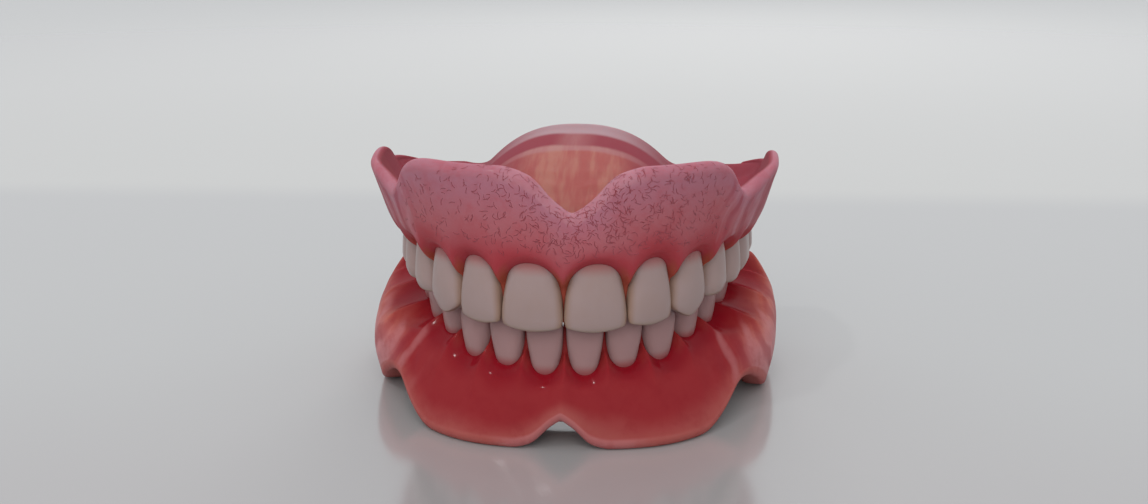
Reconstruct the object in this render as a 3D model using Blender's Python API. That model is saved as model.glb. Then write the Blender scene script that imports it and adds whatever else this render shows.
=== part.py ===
"""Upper and lower full dentures in bite: two acrylic bases and their twenty-eight set teeth.

Sizes are in millimetres and become metres where a mesh is made. +Z is up, +X is the wearer's
left and -Y is the front. The lower base stands on its borders at z = 0, and the upper denture
rests on the lower teeth. Stations run along the arch from the midline, and an inset is a
distance from the arch towards the tongue.
"""

import bisect
import math
from collections import namedtuple

import bmesh
import bpy
from mathutils import Vector

MM = 0.001

# The arch is a superellipse through the outer faces of the upper teeth, seen from above
ARCH_HALF_WIDTH = 28.6
ARCH_DEPTH = 48.9
ARCH_SQUARENESS = 2.2
ARCH_STEPS = 240
FAN_REACH = 9.0
OVERJET = 2.8

# Fits
BOND_GAP = 0.28
CONTACT_GAP = 0.16
BITE_GAP = 0.5

# The surface where the back teeth meet
BITE_Z = 17.4
CUSP_INSET = 1.5
CUSP_PITCH = 6.0
CUSP_HEIGHT = 1.4
FISSURE_DEPTH = 0.5

# The borders follow a squarer line than the teeth. Heights are at shares of the row's length
BORDER_SQUARENESS = 3.0
WIDEST_OUTSET = 6.0
Knot = namedtuple("Knot", "share height")

# Upper base
LABIAL_BORDER_Z = 39.2
CHEEK_BORDER_Z = 33.6
WING_BORDER_Z = 35.2
UPPER_BORDER = (
    Knot(0.0, LABIAL_BORDER_Z),
    Knot(0.25, LABIAL_BORDER_Z),
    Knot(0.36, LABIAL_BORDER_Z - 0.3),
    Knot(0.415, LABIAL_BORDER_Z - 1.5),
    Knot(0.45, CHEEK_BORDER_Z + 1.8),
    Knot(0.49, CHEEK_BORDER_Z),
    Knot(0.54, CHEEK_BORDER_Z),
    Knot(0.61, WING_BORDER_Z - 0.7),
    Knot(0.7, WING_BORDER_Z - 0.1),
    Knot(0.83, WING_BORDER_Z),
    Knot(0.92, WING_BORDER_Z - 1.0),
    Knot(1.0, WING_BORDER_Z - 3.4),
)
UPPER_HEEL_Z = 30.6
UPPER_HEEL_LENGTH = 6.5
UPPER_HEEL_ROUND = 5.5
UPPER_TROUGH_FRONT_Z = 29.9
UPPER_TROUGH_BACK_Z = 28.3
UPPER_TROUGH_INSET = 5.3
UPPER_WING_FROM = 0.48
UPPER_WING_RUN = 0.24
UPPER_WING_FLARE = 2.5
PALATE_FOOT_Z = 29.8
PALATE_TOP_Z = 37.1
PALATE_INSET = 10.5
DOME_HALF_WIDTH = 15.6
DOME_SQUARENESS = 2.5
PALATE_BACK_Y = 47.0
PALATE_FOLD_Y = 18.0
PALATE_THICKNESS = 2.2
PALATE_FROM_TOOTH = 3.4
PALATE_POINTS = 4
POST_DAM_HEIGHT = 0.5
POST_DAM_FROM_BACK = 4.5

# Lower base
LOWER_HEEL_Z = 16.6
LOWER_HEEL_LENGTH = 8.0
LOWER_HEEL_THICKNESS = 3.6
LOWER_HEEL_ROUND = 2.6
LOWER_BORDER_RISE = 13.0
LOWER_CHEEK_BORDER_Z = 5.0
LOWER_BORDER = (
    Knot(0.0, 0.0),
    Knot(0.34, 0.0),
    Knot(0.4, 0.25 * LOWER_CHEEK_BORDER_Z),
    Knot(0.46, 0.66 * LOWER_CHEEK_BORDER_Z),
    Knot(0.51, 0.95 * LOWER_CHEEK_BORDER_Z),
    Knot(0.56, 0.95 * LOWER_CHEEK_BORDER_Z),
    Knot(0.62, 0.6 * LOWER_CHEEK_BORDER_Z),
    Knot(0.67, 0.18 * LOWER_CHEEK_BORDER_Z),
    Knot(0.715, 0.0),
    Knot(1.0, 0.0),
)
LOWER_TROUGH_FRONT_Z = 6.7
LOWER_TROUGH_BACK_Z = 8.2
LOWER_FOOT_INSET = 0.2
LOWER_WING_FROM = 0.47
LOWER_WING_RUN = 0.2
LOWER_WING_FLARE = 2.3
LOWER_WING_FULLNESS = 4.7
LINGUAL_BORDER_Z = 0.9
LINGUAL_OUTSET = 1.5

# Borders and gums of both
BORDER_THICKNESS = 2.8
WING_BORDER_THICKNESS = 1.7
BORDER_ROUND = 1.3
REST_FLAT_WIDTH = 1.4
WING_FLAT_WIDTH = 2.6
FLANGE_FULLNESS = 0.5
FULLNESS_RISE = 0.6
GUM_LIP = 0.4
GUM_ROLL = 0.9
ROOT_BULGE = 0.35
UPPER_PAPILLA = 2.8
LOWER_PAPILLA = 1.8
TONGUE_SIDE_STEP = 1.6

# Notches for the folds of the lips, and the share of the depth at shares of the half width
Notch = namedtuple("Notch", "station half_width depth")
UPPER_NOTCH = Notch(1.3, 9.5, 6.4)
LOWER_NOTCH = Notch(-0.4, 6.4, 4.2)
NOTCH_SHAPE = (Knot(0.0, 1.0), Knot(0.35, 0.61), Knot(0.55, 0.25), Knot(0.75, 0.1), Knot(1.0, 0.0))

# A crown's width and depth are its largest, and its tip is measured from the bite height
Tooth = namedtuple("Tooth", "name kind width depth height tip")
UPPER_TEETH = (
    Tooth("central_incisor", "incisor", 9.1, 6.4, 9.6, -0.8),
    Tooth("lateral_incisor", "incisor", 7.4, 5.8, 9.5, -0.55),
    Tooth("canine", "canine", 8.1, 7.2, 9.4, -1.0),
    Tooth("first_premolar", "premolar", 7.5, 9.2, 8.0, 0.0),
    Tooth("second_premolar", "premolar", 6.9, 9.2, 7.5, 0.0),
    Tooth("first_molar", "molar", 9.5, 9.6, 6.9, 0.0),
    Tooth("second_molar", "molar", 8.9, 9.6, 6.6, 0.0),
)
LOWER_TEETH = (
    Tooth("central_incisor", "incisor", 5.8, 5.0, 8.1, 0.5),
    Tooth("lateral_incisor", "incisor", 6.1, 5.2, 7.4, 0.5),
    Tooth("canine", "canine", 6.9, 6.2, 7.8, 0.8),
    Tooth("first_premolar", "premolar", 7.0, 8.6, 6.8, 1.4),
    Tooth("second_premolar", "premolar", 7.0, 8.8, 6.6, 1.4),
    Tooth("first_molar", "molar", 10.3, 9.2, 5.7, 1.4),
    Tooth("second_molar", "molar", 9.8, 9.2, 5.5, 1.4),
)
CUSPS_ALONG = {"incisor": 1, "canine": 1, "premolar": 1, "molar": 2}

# Rings of a tooth from its root to its edge: height share, width share, face inset, back share
ROOT_DEPTH = 1.9
Ring = namedtuple("Ring", "height width face back")
RINGS = {
    "incisor": (
        Ring(0.0, 0.72, 0.75, 0.88),
        Ring(0.22, 0.86, 0.2, 0.92),
        Ring(0.55, 0.97, 0.0, 0.6),
        Ring(0.85, 1.0, 0.25, 0.38),
        Ring(1.0, 0.92, 0.6, 0.28),
    ),
    "canine": (
        Ring(0.0, 0.7, 0.7, 0.92),
        Ring(0.22, 0.84, 0.1, 0.96),
        Ring(0.55, 0.97, 0.0, 0.7),
        Ring(0.82, 0.97, 0.25, 0.46),
        Ring(1.0, 0.72, 0.65, 0.34),
    ),
    "premolar": (
        Ring(0.0, 0.74, 0.8, 0.93),
        Ring(0.35, 0.9, 0.15, 0.98),
        Ring(0.72, 1.0, 0.0, 1.0),
    ),
    "molar": (
        Ring(0.0, 0.82, 0.8, 0.94),
        Ring(0.35, 0.94, 0.15, 0.98),
        Ring(0.72, 1.0, 0.0, 1.0),
    ),
}
ROOT_TAPER = 0.84
EDGE_ROUNDING = {"incisor": 0.05, "canine": 0.16}
TABLE_RING = Ring(1.0, 0.93, 0.45, 0.95)
TABLE_SCALES = (1.0, 0.64, 0.3)
SOCKET_TOP = 0.4
SOCKET_WEB = 0.2
TOOTH_SIDES = {"incisor": 12, "canine": 12, "premolar": 12, "molar": 14}
TOOTH_SQUARENESS = 2.8

STATIONS_PER_TOOTH = 4
HEEL_STATIONS = 5
HEEL_TURN = math.radians(66.0)
NEAREST_STATIONS = 0.7

PINK_UPPER = (0.47, 0.16, 0.18, 1.0)
PINK_LOWER = (0.38, 0.05, 0.05, 1.0)
TOOTH_SHADE_UPPER = (0.62, 0.55, 0.5, 1.0)
TOOTH_SHADE_LOWER = (0.58, 0.47, 0.42, 1.0)


def ease(value):
    """Rise smoothly from 0 to 1 as the value does, and stay level outside."""
    share = max(0.0, min(1.0, value))
    return share * share * (3.0 - 2.0 * share)


def blend(first, second, share):
    return first + (second - first) * share


def round_off(value):
    """Rise from 0 to 1 along a quarter circle, slowly at first and steeply at the end."""
    share = max(0.0, min(1.0, value))
    return 1.0 - math.sqrt(1.0 - share * share)


def smooth_height(knots, share):
    """Height at a share, on a smooth curve through the knots."""
    index = 0
    while index < len(knots) - 2 and knots[index + 1].share < share:
        index += 1
    near, far = knots[index], knots[index + 1]
    before, after = knots[max(index - 1, 0)], knots[min(index + 2, len(knots) - 1)]
    span = far.share - near.share
    part = max(0.0, min(1.0, (share - near.share) / span))
    slope_near = (far.height - before.height) / (far.share - before.share) * span
    slope_far = (after.height - near.height) / (after.share - near.share) * span
    bend = slope_near * part * (1.0 - part) ** 2 - slope_far * part * part * (1.0 - part)
    return blend(near.height, far.height, ease(part)) + bend


def arch_samples():
    """Distance along the arch, x and y of points from the midline to the back."""
    power = 2.0 / ARCH_SQUARENESS
    samples = [(0.0, 0.0, 0.0)]
    for step in range(1, ARCH_STEPS + 1):
        angle = step / ARCH_STEPS * math.pi / 2
        x = ARCH_HALF_WIDTH * math.sin(angle) ** power
        y = ARCH_DEPTH * (1.0 - max(math.cos(angle), 0.0) ** power)
        length, last_x, last_y = samples[-1]
        samples.append((length + math.hypot(x - last_x, y - last_y), x, y))
    return samples


ARCH = arch_samples()


def on_arch(station):
    """Point of the arch at a station. Past its end the arch runs straight back."""
    distance = abs(station)
    side = math.copysign(1.0, station)
    end, x, y = ARCH[-1]
    if distance >= end:
        return Vector((side * x, y + distance - end))
    index = bisect.bisect_right(ARCH, (distance, math.inf, math.inf))
    near, near_x, near_y = ARCH[index - 1]
    far, far_x, far_y = ARCH[index]
    share = (distance - near) / (far - near)
    return Vector((side * blend(near_x, far_x, share), blend(near_y, far_y, share)))


def inward(station):
    """Direction from the arch towards the tongue, turning more gently than the arch itself."""
    chord = (on_arch(station + FAN_REACH) - on_arch(station - FAN_REACH)).normalized()
    return Vector((-chord.y, chord.x))


def place(station, inset, height):
    spot = on_arch(station) + inward(station) * inset
    return Vector((spot.x, spot.y, height))


def stretch(station, inset):
    """Real length of one millimetre of station at an inset."""
    return (place(station + 0.5, inset, 0.0) - place(station - 0.5, inset, 0.0)).length


def outset(station):
    """How far outside the teeth's arch the squarer line of the borders runs."""
    near, far = 0.0, WIDEST_OUTSET
    for _ in range(24):
        middle = (near + far) / 2
        spot = place(station, -middle, 0.0)
        across = abs(spot.x) / ARCH_HALF_WIDTH
        ahead = max(ARCH_DEPTH - spot.y, 0.0) / ARCH_DEPTH
        if across ** BORDER_SQUARENESS + ahead ** BORDER_SQUARENESS < 1.0:
            near = middle
        else:
            far = middle
    return near


def contact_stations(teeth, setback):
    """Stations where neighbouring crowns meet, walked along a line set back from the arch."""
    step = 0.05
    stations = [0.0]
    station = 0.0
    run = 0.0
    goal = 0.0
    for tooth in teeth:
        goal += tooth.width
        while run < goal:
            run += step * stretch(station, setback)
            station += step
        stations.append(station)
    return stations


class Row:
    """One row of teeth: where they stand and how the gum line runs past them."""

    def __init__(self, teeth, setback, up, papilla):
        self.teeth = teeth
        self.setback = setback
        self.up = up
        self.papilla = papilla
        self.contacts = contact_stations(teeth, setback)
        self.end = self.contacts[-1]

    def locate(self, station):
        """Index of the tooth at a station, and how far across it the station lies."""
        distance = min(abs(station), self.end - 1e-6)
        index = bisect.bisect_right(self.contacts, distance) - 1
        near, far = self.contacts[index], self.contacts[index + 1]
        return index, (distance - near) / (far - near)

    def between_centres(self, station, value):
        """A value of the teeth, run smoothly from one tooth's middle to the next one's."""
        index, share = self.locate(station)
        other = index + (1 if share > 0.5 else -1)
        other = max(0, min(len(self.teeth) - 1, other))
        return blend(value(self.teeth[index]), value(self.teeth[other]), ease(abs(share - 0.5)))

    def neck(self, station):
        return self.between_centres(station, self.neck_z)

    def neck_z(self, tooth):
        return BITE_Z + tooth.tip - self.up * tooth.height

    def depth(self, station):
        return self.between_centres(station, lambda tooth: tooth.depth)

    def tongue_step(self, station):
        """How much nearer the crown's edge the gum line runs on the tongue side."""
        front = self.contacts[3]
        return TONGUE_SIDE_STEP * (1.0 - 0.7 * ease((abs(station) - front) / front))

    def between_teeth(self, station):
        """1 at the contact of two teeth and 0 at a tooth's middle."""
        if abs(station) > self.end:
            return 0.0
        _, share = self.locate(station)
        return (0.5 + 0.5 * math.cos(2.0 * math.pi * share)) ** 1.5

    def stations(self, notch, heel_length):
        """Stations of the base's sections from one heel to the other."""
        half = []
        for index in range(len(self.teeth)):
            near, far = self.contacts[index], self.contacts[index + 1]
            for step in range(STATIONS_PER_TOOTH):
                half.append(blend(near, far, step / STATIONS_PER_TOOTH))
        for step in range(HEEL_STATIONS + 1):
            turn = step / HEEL_STATIONS * HEEL_TURN
            half.append(self.end + heel_length * math.sin(turn))
        both = [-station for station in reversed(half[1:])] + half
        apex = abs(notch.station)
        both = [station for station in both if abs(abs(station) - apex) > NEAREST_STATIONS]
        return sorted(both + [-apex, apex])


UPPER = Row(UPPER_TEETH, 0.0, -1.0, UPPER_PAPILLA)
LOWER = Row(LOWER_TEETH, OVERJET, 1.0, LOWER_PAPILLA)


def bite(station, inset):
    """Height where the back teeth meet: each row's cusps lie in the other row's grooves."""
    index, share = UPPER.locate(station)
    cusps = CUSPS_ALONG[UPPER_TEETH[index].kind]
    across = 0.5 - 0.5 * math.cos(2.0 * math.pi * (inset - CUSP_INSET) / CUSP_PITCH)
    along = 0.5 + 0.5 * math.cos(2.0 * math.pi * share * cusps)
    return BITE_Z + CUSP_HEIGHT * across + FISSURE_DEPTH * along


def notch_cut(station, notch):
    """How far a lip's notch moves the border at a station."""
    reach = abs(station - notch.station) / notch.half_width
    return notch.depth * smooth_height(NOTCH_SHAPE, reach) if reach < 1.0 else 0.0


def vault(x, y):
    """Height of the tissue side of the palate."""
    length = PALATE_BACK_Y - PALATE_INSET
    from_back = max(PALATE_BACK_Y - y, 0.0)
    fall = (abs(x) / DOME_HALF_WIDTH) ** DOME_SQUARENESS + (from_back / length) ** 3
    dome = (PALATE_TOP_Z - PALATE_FOOT_Z) * max(1.0 - fall, 0.0)
    bead = math.exp(-((from_back - POST_DAM_FROM_BACK) / 1.2) ** 2)
    return PALATE_FOOT_Z + dome + POST_DAM_HEIGHT * bead * ease(1.5 - abs(x) / DOME_HALF_WIDTH)


def palate_line(station, inset, points, thickness):
    """Points from the side of the palate to its midline, from a section's own station."""
    heel_station = UPPER.end + UPPER_HEEL_LENGTH
    start = place(station, inset, 0.0)
    middle_y = blend(PALATE_FOLD_Y, PALATE_BACK_Y, abs(station) / heel_station)
    line = []
    for step in range(points + 1):
        share = step / points
        x = blend(start.x, 0.0, share)
        y = blend(start.y, middle_y, share)
        line.append(Vector((x, y, vault(x, y) - thickness)))
    return line


def flange_face(lip, fullness, flare, share):
    """Inset of a flange's polished face, from the gum (0) to the border (1)."""
    return -lip - fullness * math.sin(math.pi * share ** FULLNESS_RISE) - flare * share


def upper_section(station):
    """Tissue side and polished side of the upper base, from the border to the midline."""
    size = abs(station)
    wing = ease((size / UPPER.end - UPPER_WING_FROM) / UPPER_WING_RUN)
    back = ease(size / UPPER.end)
    heel = ease((size - UPPER.end) / UPPER_HEEL_LENGTH)
    corner = round_off((size - UPPER.end) / UPPER_HEEL_LENGTH)
    gap = UPPER.between_teeth(station)
    neck = blend(UPPER.neck(station), UPPER_HEEL_Z - PALATE_THICKNESS, corner)
    margin = neck - gap * UPPER.papilla
    border = smooth_height(UPPER_BORDER, size / UPPER.end) - notch_cut(station, UPPER_NOTCH)
    border = blend(border, UPPER_HEEL_Z + 0.4, corner)
    trough = blend(UPPER_TROUGH_FRONT_Z, UPPER_TROUGH_BACK_Z, back)
    trough = blend(trough, UPPER_HEEL_Z - 0.2, heel)
    flare = outset(station) + UPPER_WING_FLARE * wing
    shift = UPPER_HEEL_ROUND * corner
    bulge = ROOT_BULGE * (1.0 - 2.0 * gap) * (1.0 - heel)

    face = {}
    for share in (0.2, 0.5, 0.8, 1.0):
        face[share] = flange_face(GUM_LIP, FLANGE_FULLNESS, flare, share) + shift
    thickness = blend(BORDER_THICKNESS, WING_BORDER_THICKNESS, wing)
    rounding = BORDER_ROUND * thickness / BORDER_THICKNESS
    outside = [(face[1.0] + thickness / 2, border), (face[1.0], border - rounding)]
    low, high = neck + GUM_ROLL, border - rounding
    for share in (0.8, 0.5, 0.2):
        outside.append((face[share] - bulge * (1.0 - share), blend(low, high, share)))
    outside.append((blend(-GUM_LIP, 0.3, gap) + shift, margin + GUM_ROLL * 0.7))
    outside.append((blend(0.1, 0.9, gap) + shift, margin))

    depth = UPPER.depth(station)
    tongue = margin - UPPER.tongue_step(station) * (1.0 - gap) * (1.0 - heel)
    outside.append((depth * 0.35 + shift * 0.6, margin + 0.3))
    outside.append((depth * 0.75 + shift * 0.2, blend(margin, tongue, 0.7) + 0.3))
    outside.append((depth + GUM_LIP, tongue))
    outside.append((depth + 1.5, blend(tongue + 1.3, UPPER_HEEL_Z - PALATE_THICKNESS, heel)))
    polished = [place(station, inset, height) for inset, height in outside]
    polished += palate_line(station, depth + PALATE_FROM_TOOTH, PALATE_POINTS, PALATE_THICKNESS)

    wall = face[1.0] + thickness
    inside = []
    for share in (1.0, 0.62, 0.3, 0.08, 0.0):
        height = blend(trough, border - rounding, share)
        inside.append((blend(UPPER_TROUGH_INSET, wall, share ** 0.35 if share else 0.0), height))
    inside.append((blend(UPPER_TROUGH_INSET, PALATE_INSET, 0.55), trough + 0.5 * (1.0 - heel)))
    tissue = [polished[0]] + [place(station, inset, height) for inset, height in inside]
    tissue += palate_line(station, PALATE_INSET, PALATE_POINTS, 0.0)
    return tissue, polished


def lower_section(station):
    """Tissue side and polished side of the lower base, from the outer to the tongue border."""
    size = abs(station)
    wing = ease((size / LOWER.end - LOWER_WING_FROM) / LOWER_WING_RUN)
    back = ease(size / LOWER.end)
    heel = ease((size - LOWER.end) / LOWER_HEEL_LENGTH)
    corner = round_off((size - LOWER.end) / LOWER_HEEL_LENGTH)
    rise = round_off(1.0 + (size - LOWER.end - LOWER_HEEL_LENGTH) / LOWER_BORDER_RISE)
    shift = LOWER_HEEL_ROUND * corner
    gap = LOWER.between_teeth(station)
    neck = blend(LOWER.neck(station), LOWER_HEEL_Z, heel)
    margin = neck + gap * LOWER.papilla
    heel_floor = LOWER_HEEL_Z - LOWER_HEEL_THICKNESS
    border = max(smooth_height(LOWER_BORDER, size / LOWER.end), notch_cut(station, LOWER_NOTCH))
    border = blend(border, heel_floor, rise)
    trough = blend(blend(LOWER_TROUGH_FRONT_Z, LOWER_TROUGH_BACK_Z, back), heel_floor, heel)
    trough = max(trough, border + 0.3)
    fullness = blend(FLANGE_FULLNESS, LOWER_WING_FULLNESS, wing) * (1.0 - 0.4 * heel)
    foot = LOWER_FOOT_INSET - outset(station) - LOWER_WING_FLARE * wing
    flare = OVERJET - foot
    bulge = ROOT_BULGE * (1.0 - 2.0 * gap) * (1.0 - heel)

    low, high = border + BORDER_ROUND, neck - GUM_ROLL
    shoulder = OVERJET + flange_face(GUM_LIP, fullness, flare, 1.0) + shift
    outside = [(shoulder + 0.9, border), (shoulder, low)]
    for share in (0.78, 0.5, 0.25, 0.08):
        face = OVERJET + flange_face(GUM_LIP, fullness, flare, share) + shift
        outside.append((face - bulge * (1.0 - share), blend(high, low, share)))
    outside.append((OVERJET + blend(-GUM_LIP, 0.3, gap) + shift, margin - GUM_ROLL * 0.7))
    outside.append((OVERJET + blend(0.1, 0.9, gap) + shift, margin))

    depth = LOWER.depth(station)
    tongue = margin + 0.4 * LOWER.tongue_step(station) * (1.0 - gap) * (1.0 - heel)
    outside.append((OVERJET + depth * 0.35 + shift * 0.4, margin - 0.3))
    outside.append((OVERJET + depth * 0.7 - shift * 0.4, blend(margin, tongue, 0.7) - 0.3))
    inner = OVERJET + depth + GUM_LIP - shift
    outside.append((inner, tongue - 0.4 * heel))
    edge = blend(LINGUAL_BORDER_Z, heel_floor, rise)
    outside.append((inner + 0.5, blend(tongue, edge, 0.3)))
    outside.append((inner + 0.5 * LINGUAL_OUTSET, blend(tongue, edge, 0.65)))
    outside.append((inner + LINGUAL_OUTSET, edge + BORDER_ROUND * (1.0 - 0.5 * heel)))
    outside.append((inner + LINGUAL_OUTSET - 0.9, edge))
    polished = [place(station, inset, height) for inset, height in outside]

    outer_wall = shoulder + 0.9 + blend(REST_FLAT_WIDTH, WING_FLAT_WIDTH, wing)
    inner_wall = inner + LINGUAL_OUTSET - 1.9
    middle = (outer_wall + inner_wall) / 2
    inside = [(outer_wall, border)]
    for share in (0.6, 0.2):
        inside.append((blend(middle, outer_wall, share ** 0.4), blend(trough, border, share)))
    inside.append((middle, trough))
    for share in (0.2, 0.6):
        inside.append((blend(middle, inner_wall, share ** 0.4), blend(trough, edge, share)))
    inside.append((inner_wall, edge))
    tissue = [place(station, inset, height) for inset, height in inside]
    return [polished[0]] + tissue + [polished[-1]], polished


def upper_middle(point):
    """Height of the middle of the palate plate under a point of the upper base."""
    return max(vault(point.x, point.y), UPPER_HEEL_Z) - PALATE_THICKNESS / 2


def lower_middle(point):
    return LOWER_HEEL_Z - LOWER_HEEL_THICKNESS / 2


def thinned_heel(section, middle, turn):
    """A section past the last tooth, thinned about its plate's middle towards a round edge."""
    sides = []
    for side in section:
        moved = []
        for point in side:
            height = blend(middle(point), point.z, math.cos(turn))
            moved.append(Vector((point.x, point.y, height)))
        sides.append(moved)
    return sides


def point_key(point):
    return tuple(round(value, 6) for value in point)


def base_mesh(name, sections):
    """Skin sections into one closed body, with each heel closed between its two sides."""
    mesh = bmesh.new()
    rows = []
    for tissue, polished in sections:
        made = {}
        for point in tissue + polished:
            if point_key(point) not in made:
                made[point_key(point)] = mesh.verts.new(point * MM)
        sides = (tissue, polished)
        rows.append([[made[point_key(point)] for point in side] for side in sides])
    for near, far in zip(rows, rows[1:]):
        for side in (0, 1):
            for step in range(len(near[side]) - 1):
                mesh.faces.new((near[side][step], near[side][step + 1],
                                far[side][step + 1], far[side][step]))
    for tissue, polished in (rows[0], rows[-1]):
        close_heel(mesh, tissue, polished)
    bmesh.ops.remove_doubles(mesh, verts=mesh.verts, dist=0.01 * MM)
    bmesh.ops.recalc_face_normals(mesh, faces=mesh.faces)
    return finished_mesh(mesh, name)


def close_heel(mesh, first, second):
    """Triangles between two chains of vertices that start at the same vertex."""
    near = far = 0
    while near < len(first) - 1 or far < len(second) - 1:
        step_near = (near + 1) / (len(first) - 1)
        step_far = (far + 1) / (len(second) - 1)
        if far == len(second) - 1 or (near < len(first) - 1 and step_near <= step_far):
            corners = (first[near], first[near + 1], second[far])
            near += 1
        else:
            corners = (first[near], second[far + 1], second[far])
            far += 1
        if len(set(corners)) == 3:
            mesh.faces.new(corners)


def finished_mesh(mesh, name):
    bmesh.ops.triangulate(mesh, faces=mesh.faces)
    data = bpy.data.meshes.new(name)
    mesh.to_mesh(data)
    mesh.free()
    data.shade_smooth()
    return data


def ring_points(row, index, side, ring, sides, scale=1.0, grow=0.0):
    """One ring of a tooth as (across, station, inset), where across runs from -1 to 1."""
    tooth = row.teeth[index]
    near, far = row.contacts[index], row.contacts[index + 1]
    middle = (near + far) / 2
    face = row.setback + ring.face
    back = row.setback + tooth.depth * ring.back
    centre, half_depth = (face + back) / 2, (back - face) / 2
    unit = stretch(middle, centre)
    room = (far - near) / 2
    half = (room - CONTACT_GAP / 2) * ring.width
    if grow:
        half = min(half + grow / unit, room - SOCKET_WEB / 2)
    points = []
    for step in range(sides):
        angle = 2.0 * math.pi * step / sides
        across = math.copysign(abs(math.cos(angle)) ** (2.0 / TOOTH_SQUARENESS), math.cos(angle))
        towards = math.copysign(abs(math.sin(angle)) ** (2.0 / TOOTH_SQUARENESS), math.sin(angle))
        station = middle + across * half * scale
        inset = centre + towards * (half_depth + grow) * scale
        points.append((across, side * station, inset))
    return points


def wall_ring(row, index, side, ring, sides, grow=0.0):
    """A ring round a tooth's wall, bent to the edge's own line near the edge."""
    tooth = row.teeth[index]
    neck = row.neck_z(tooth)
    rounding = EDGE_ROUNDING.get(tooth.kind, 0.0) * ring.height ** 4
    points = []
    for across, station, inset in ring_points(row, index, side, ring, sides, grow=grow):
        share = ring.height - rounding * abs(across) ** 1.5
        points.append(place(station, inset, neck + row.up * tooth.height * share))
    return points


def root_ring(row, index, side, sides, grow=0.0):
    """The foot of the root, which sits in the base."""
    tooth = row.teeth[index]
    neck = RINGS[tooth.kind][0]
    foot = Ring(0.0, neck.width * ROOT_TAPER, neck.face + 0.5, neck.back - 0.08)
    height = row.neck_z(tooth) - row.up * (ROOT_DEPTH + grow)
    points = ring_points(row, index, side, foot, sides, grow=grow)
    return [place(station, inset, height) for _, station, inset in points]


def table_rings(row, index, side, sides):
    """Rings of a back tooth's chewing surface, from its rim inwards."""
    rings = []
    for scale in TABLE_SCALES:
        ring = []
        for _, station, inset in ring_points(row, index, side, TABLE_RING, sides, scale):
            ring.append(place(station, inset, bite(station, inset) - row.up * BITE_GAP / 2))
        rings.append(ring)
    return rings


def skin_rings(mesh, rings, last_point=None):
    """Join rings of equal length by quads, and close both ends."""
    rows = [[mesh.verts.new(point * MM) for point in ring] for ring in rings]
    for near, far in zip(rows, rows[1:]):
        for step in range(len(near)):
            following = (step + 1) % len(near)
            mesh.faces.new((near[step], near[following], far[following], far[step]))
    mesh.faces.new(rows[0])
    if last_point is None:
        mesh.faces.new(rows[-1])
        return
    tip = mesh.verts.new(last_point * MM)
    for step in range(len(rows[-1])):
        mesh.faces.new((rows[-1][step], rows[-1][(step + 1) % len(rows[-1])], tip))


def tooth_mesh(row, index, side, name):
    """A front tooth ends in its biting edge, and a back tooth in a table of cusps."""
    tooth = row.teeth[index]
    sides = TOOTH_SIDES[tooth.kind]
    rings = [root_ring(row, index, side, sides)]
    rings += [wall_ring(row, index, side, ring, sides) for ring in RINGS[tooth.kind]]
    last_point = None
    if tooth.kind in ("premolar", "molar"):
        rings += table_rings(row, index, side, sides)
        station = side * (row.contacts[index] + row.contacts[index + 1]) / 2
        inset = row.setback + tooth.depth / 2
        last_point = place(station, inset, bite(station, inset) - row.up * BITE_GAP / 2)
    mesh = bmesh.new()
    skin_rings(mesh, rings, last_point)
    bmesh.ops.recalc_face_normals(mesh, faces=mesh.faces)
    return finished_mesh(mesh, name)


def socket_mesh(row, index, side, name):
    """The root and lower crown grown by the bond gap, to cut the tooth's seat."""
    tooth = row.teeth[index]
    sides = TOOTH_SIDES[tooth.kind]
    rings = [root_ring(row, index, side, sides, BOND_GAP)]
    lower_rings = [ring for ring in RINGS[tooth.kind] if ring.height < SOCKET_TOP]
    rings += [wall_ring(row, index, side, ring, sides, BOND_GAP) for ring in lower_rings]
    top = lower_rings[-1]._replace(height=SOCKET_TOP + 0.1)
    rings.append(wall_ring(row, index, side, top, sides, BOND_GAP))
    mesh = bmesh.new()
    skin_rings(mesh, rings)
    bmesh.ops.recalc_face_normals(mesh, faces=mesh.faces)
    return finished_mesh(mesh, name)


def material(name, colour, roughness):
    made = bpy.data.materials.new(name)
    made.use_nodes = True
    shader = made.node_tree.nodes["Principled BSDF"]
    shader.inputs["Base Color"].default_value = colour
    shader.inputs["Roughness"].default_value = roughness
    shader.inputs["Metallic"].default_value = 0.0
    return made


def add_object(name, data, finish, collection):
    made = bpy.data.objects.new(name, data)
    if finish:
        data.materials.append(finish)
    collection.objects.link(made)
    return made


def base_sections(section, stations, row, heel_length, middle):
    """A base's sections from heel to heel, thinned towards both heels' edges."""
    sections = []
    for station in stations:
        past = max(0.0, (abs(station) - row.end) / heel_length)
        sections.append(thinned_heel(section(station), middle, math.asin(min(past, 1.0))))
    return sections


def add_teeth(prefix, row, finish, collection):
    """Both sides' teeth, named from the wearer's own left and right."""
    teeth = []
    for side, side_name in ((1.0, "left"), (-1.0, "right")):
        for index, tooth in enumerate(row.teeth):
            name = f"{prefix}_{side_name}_{tooth.name}"
            teeth.append(add_object(name, tooth_mesh(row, index, side, name), finish, collection))
    return teeth


def cut_sockets(base, prefix, row):
    """Seats for a row of teeth, cut from the teeth's own shapes."""
    cutters = bpy.data.collections.new(f"{prefix}_sockets")
    bpy.context.scene.collection.children.link(cutters)
    for side, side_name in ((1.0, "left"), (-1.0, "right")):
        for index, tooth in enumerate(row.teeth):
            name = f"socket_{prefix}_{side_name}_{tooth.name}"
            cutter = add_object(name, socket_mesh(row, index, side, name), None, cutters)
            cutter.hide_render = True
            cutter.display_type = "WIRE"
    cut = base.modifiers.new("sockets", "BOOLEAN")
    cut.operation = "DIFFERENCE"
    cut.operand_type = "COLLECTION"
    cut.collection = cutters
    return list(cutters.objects)


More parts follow.
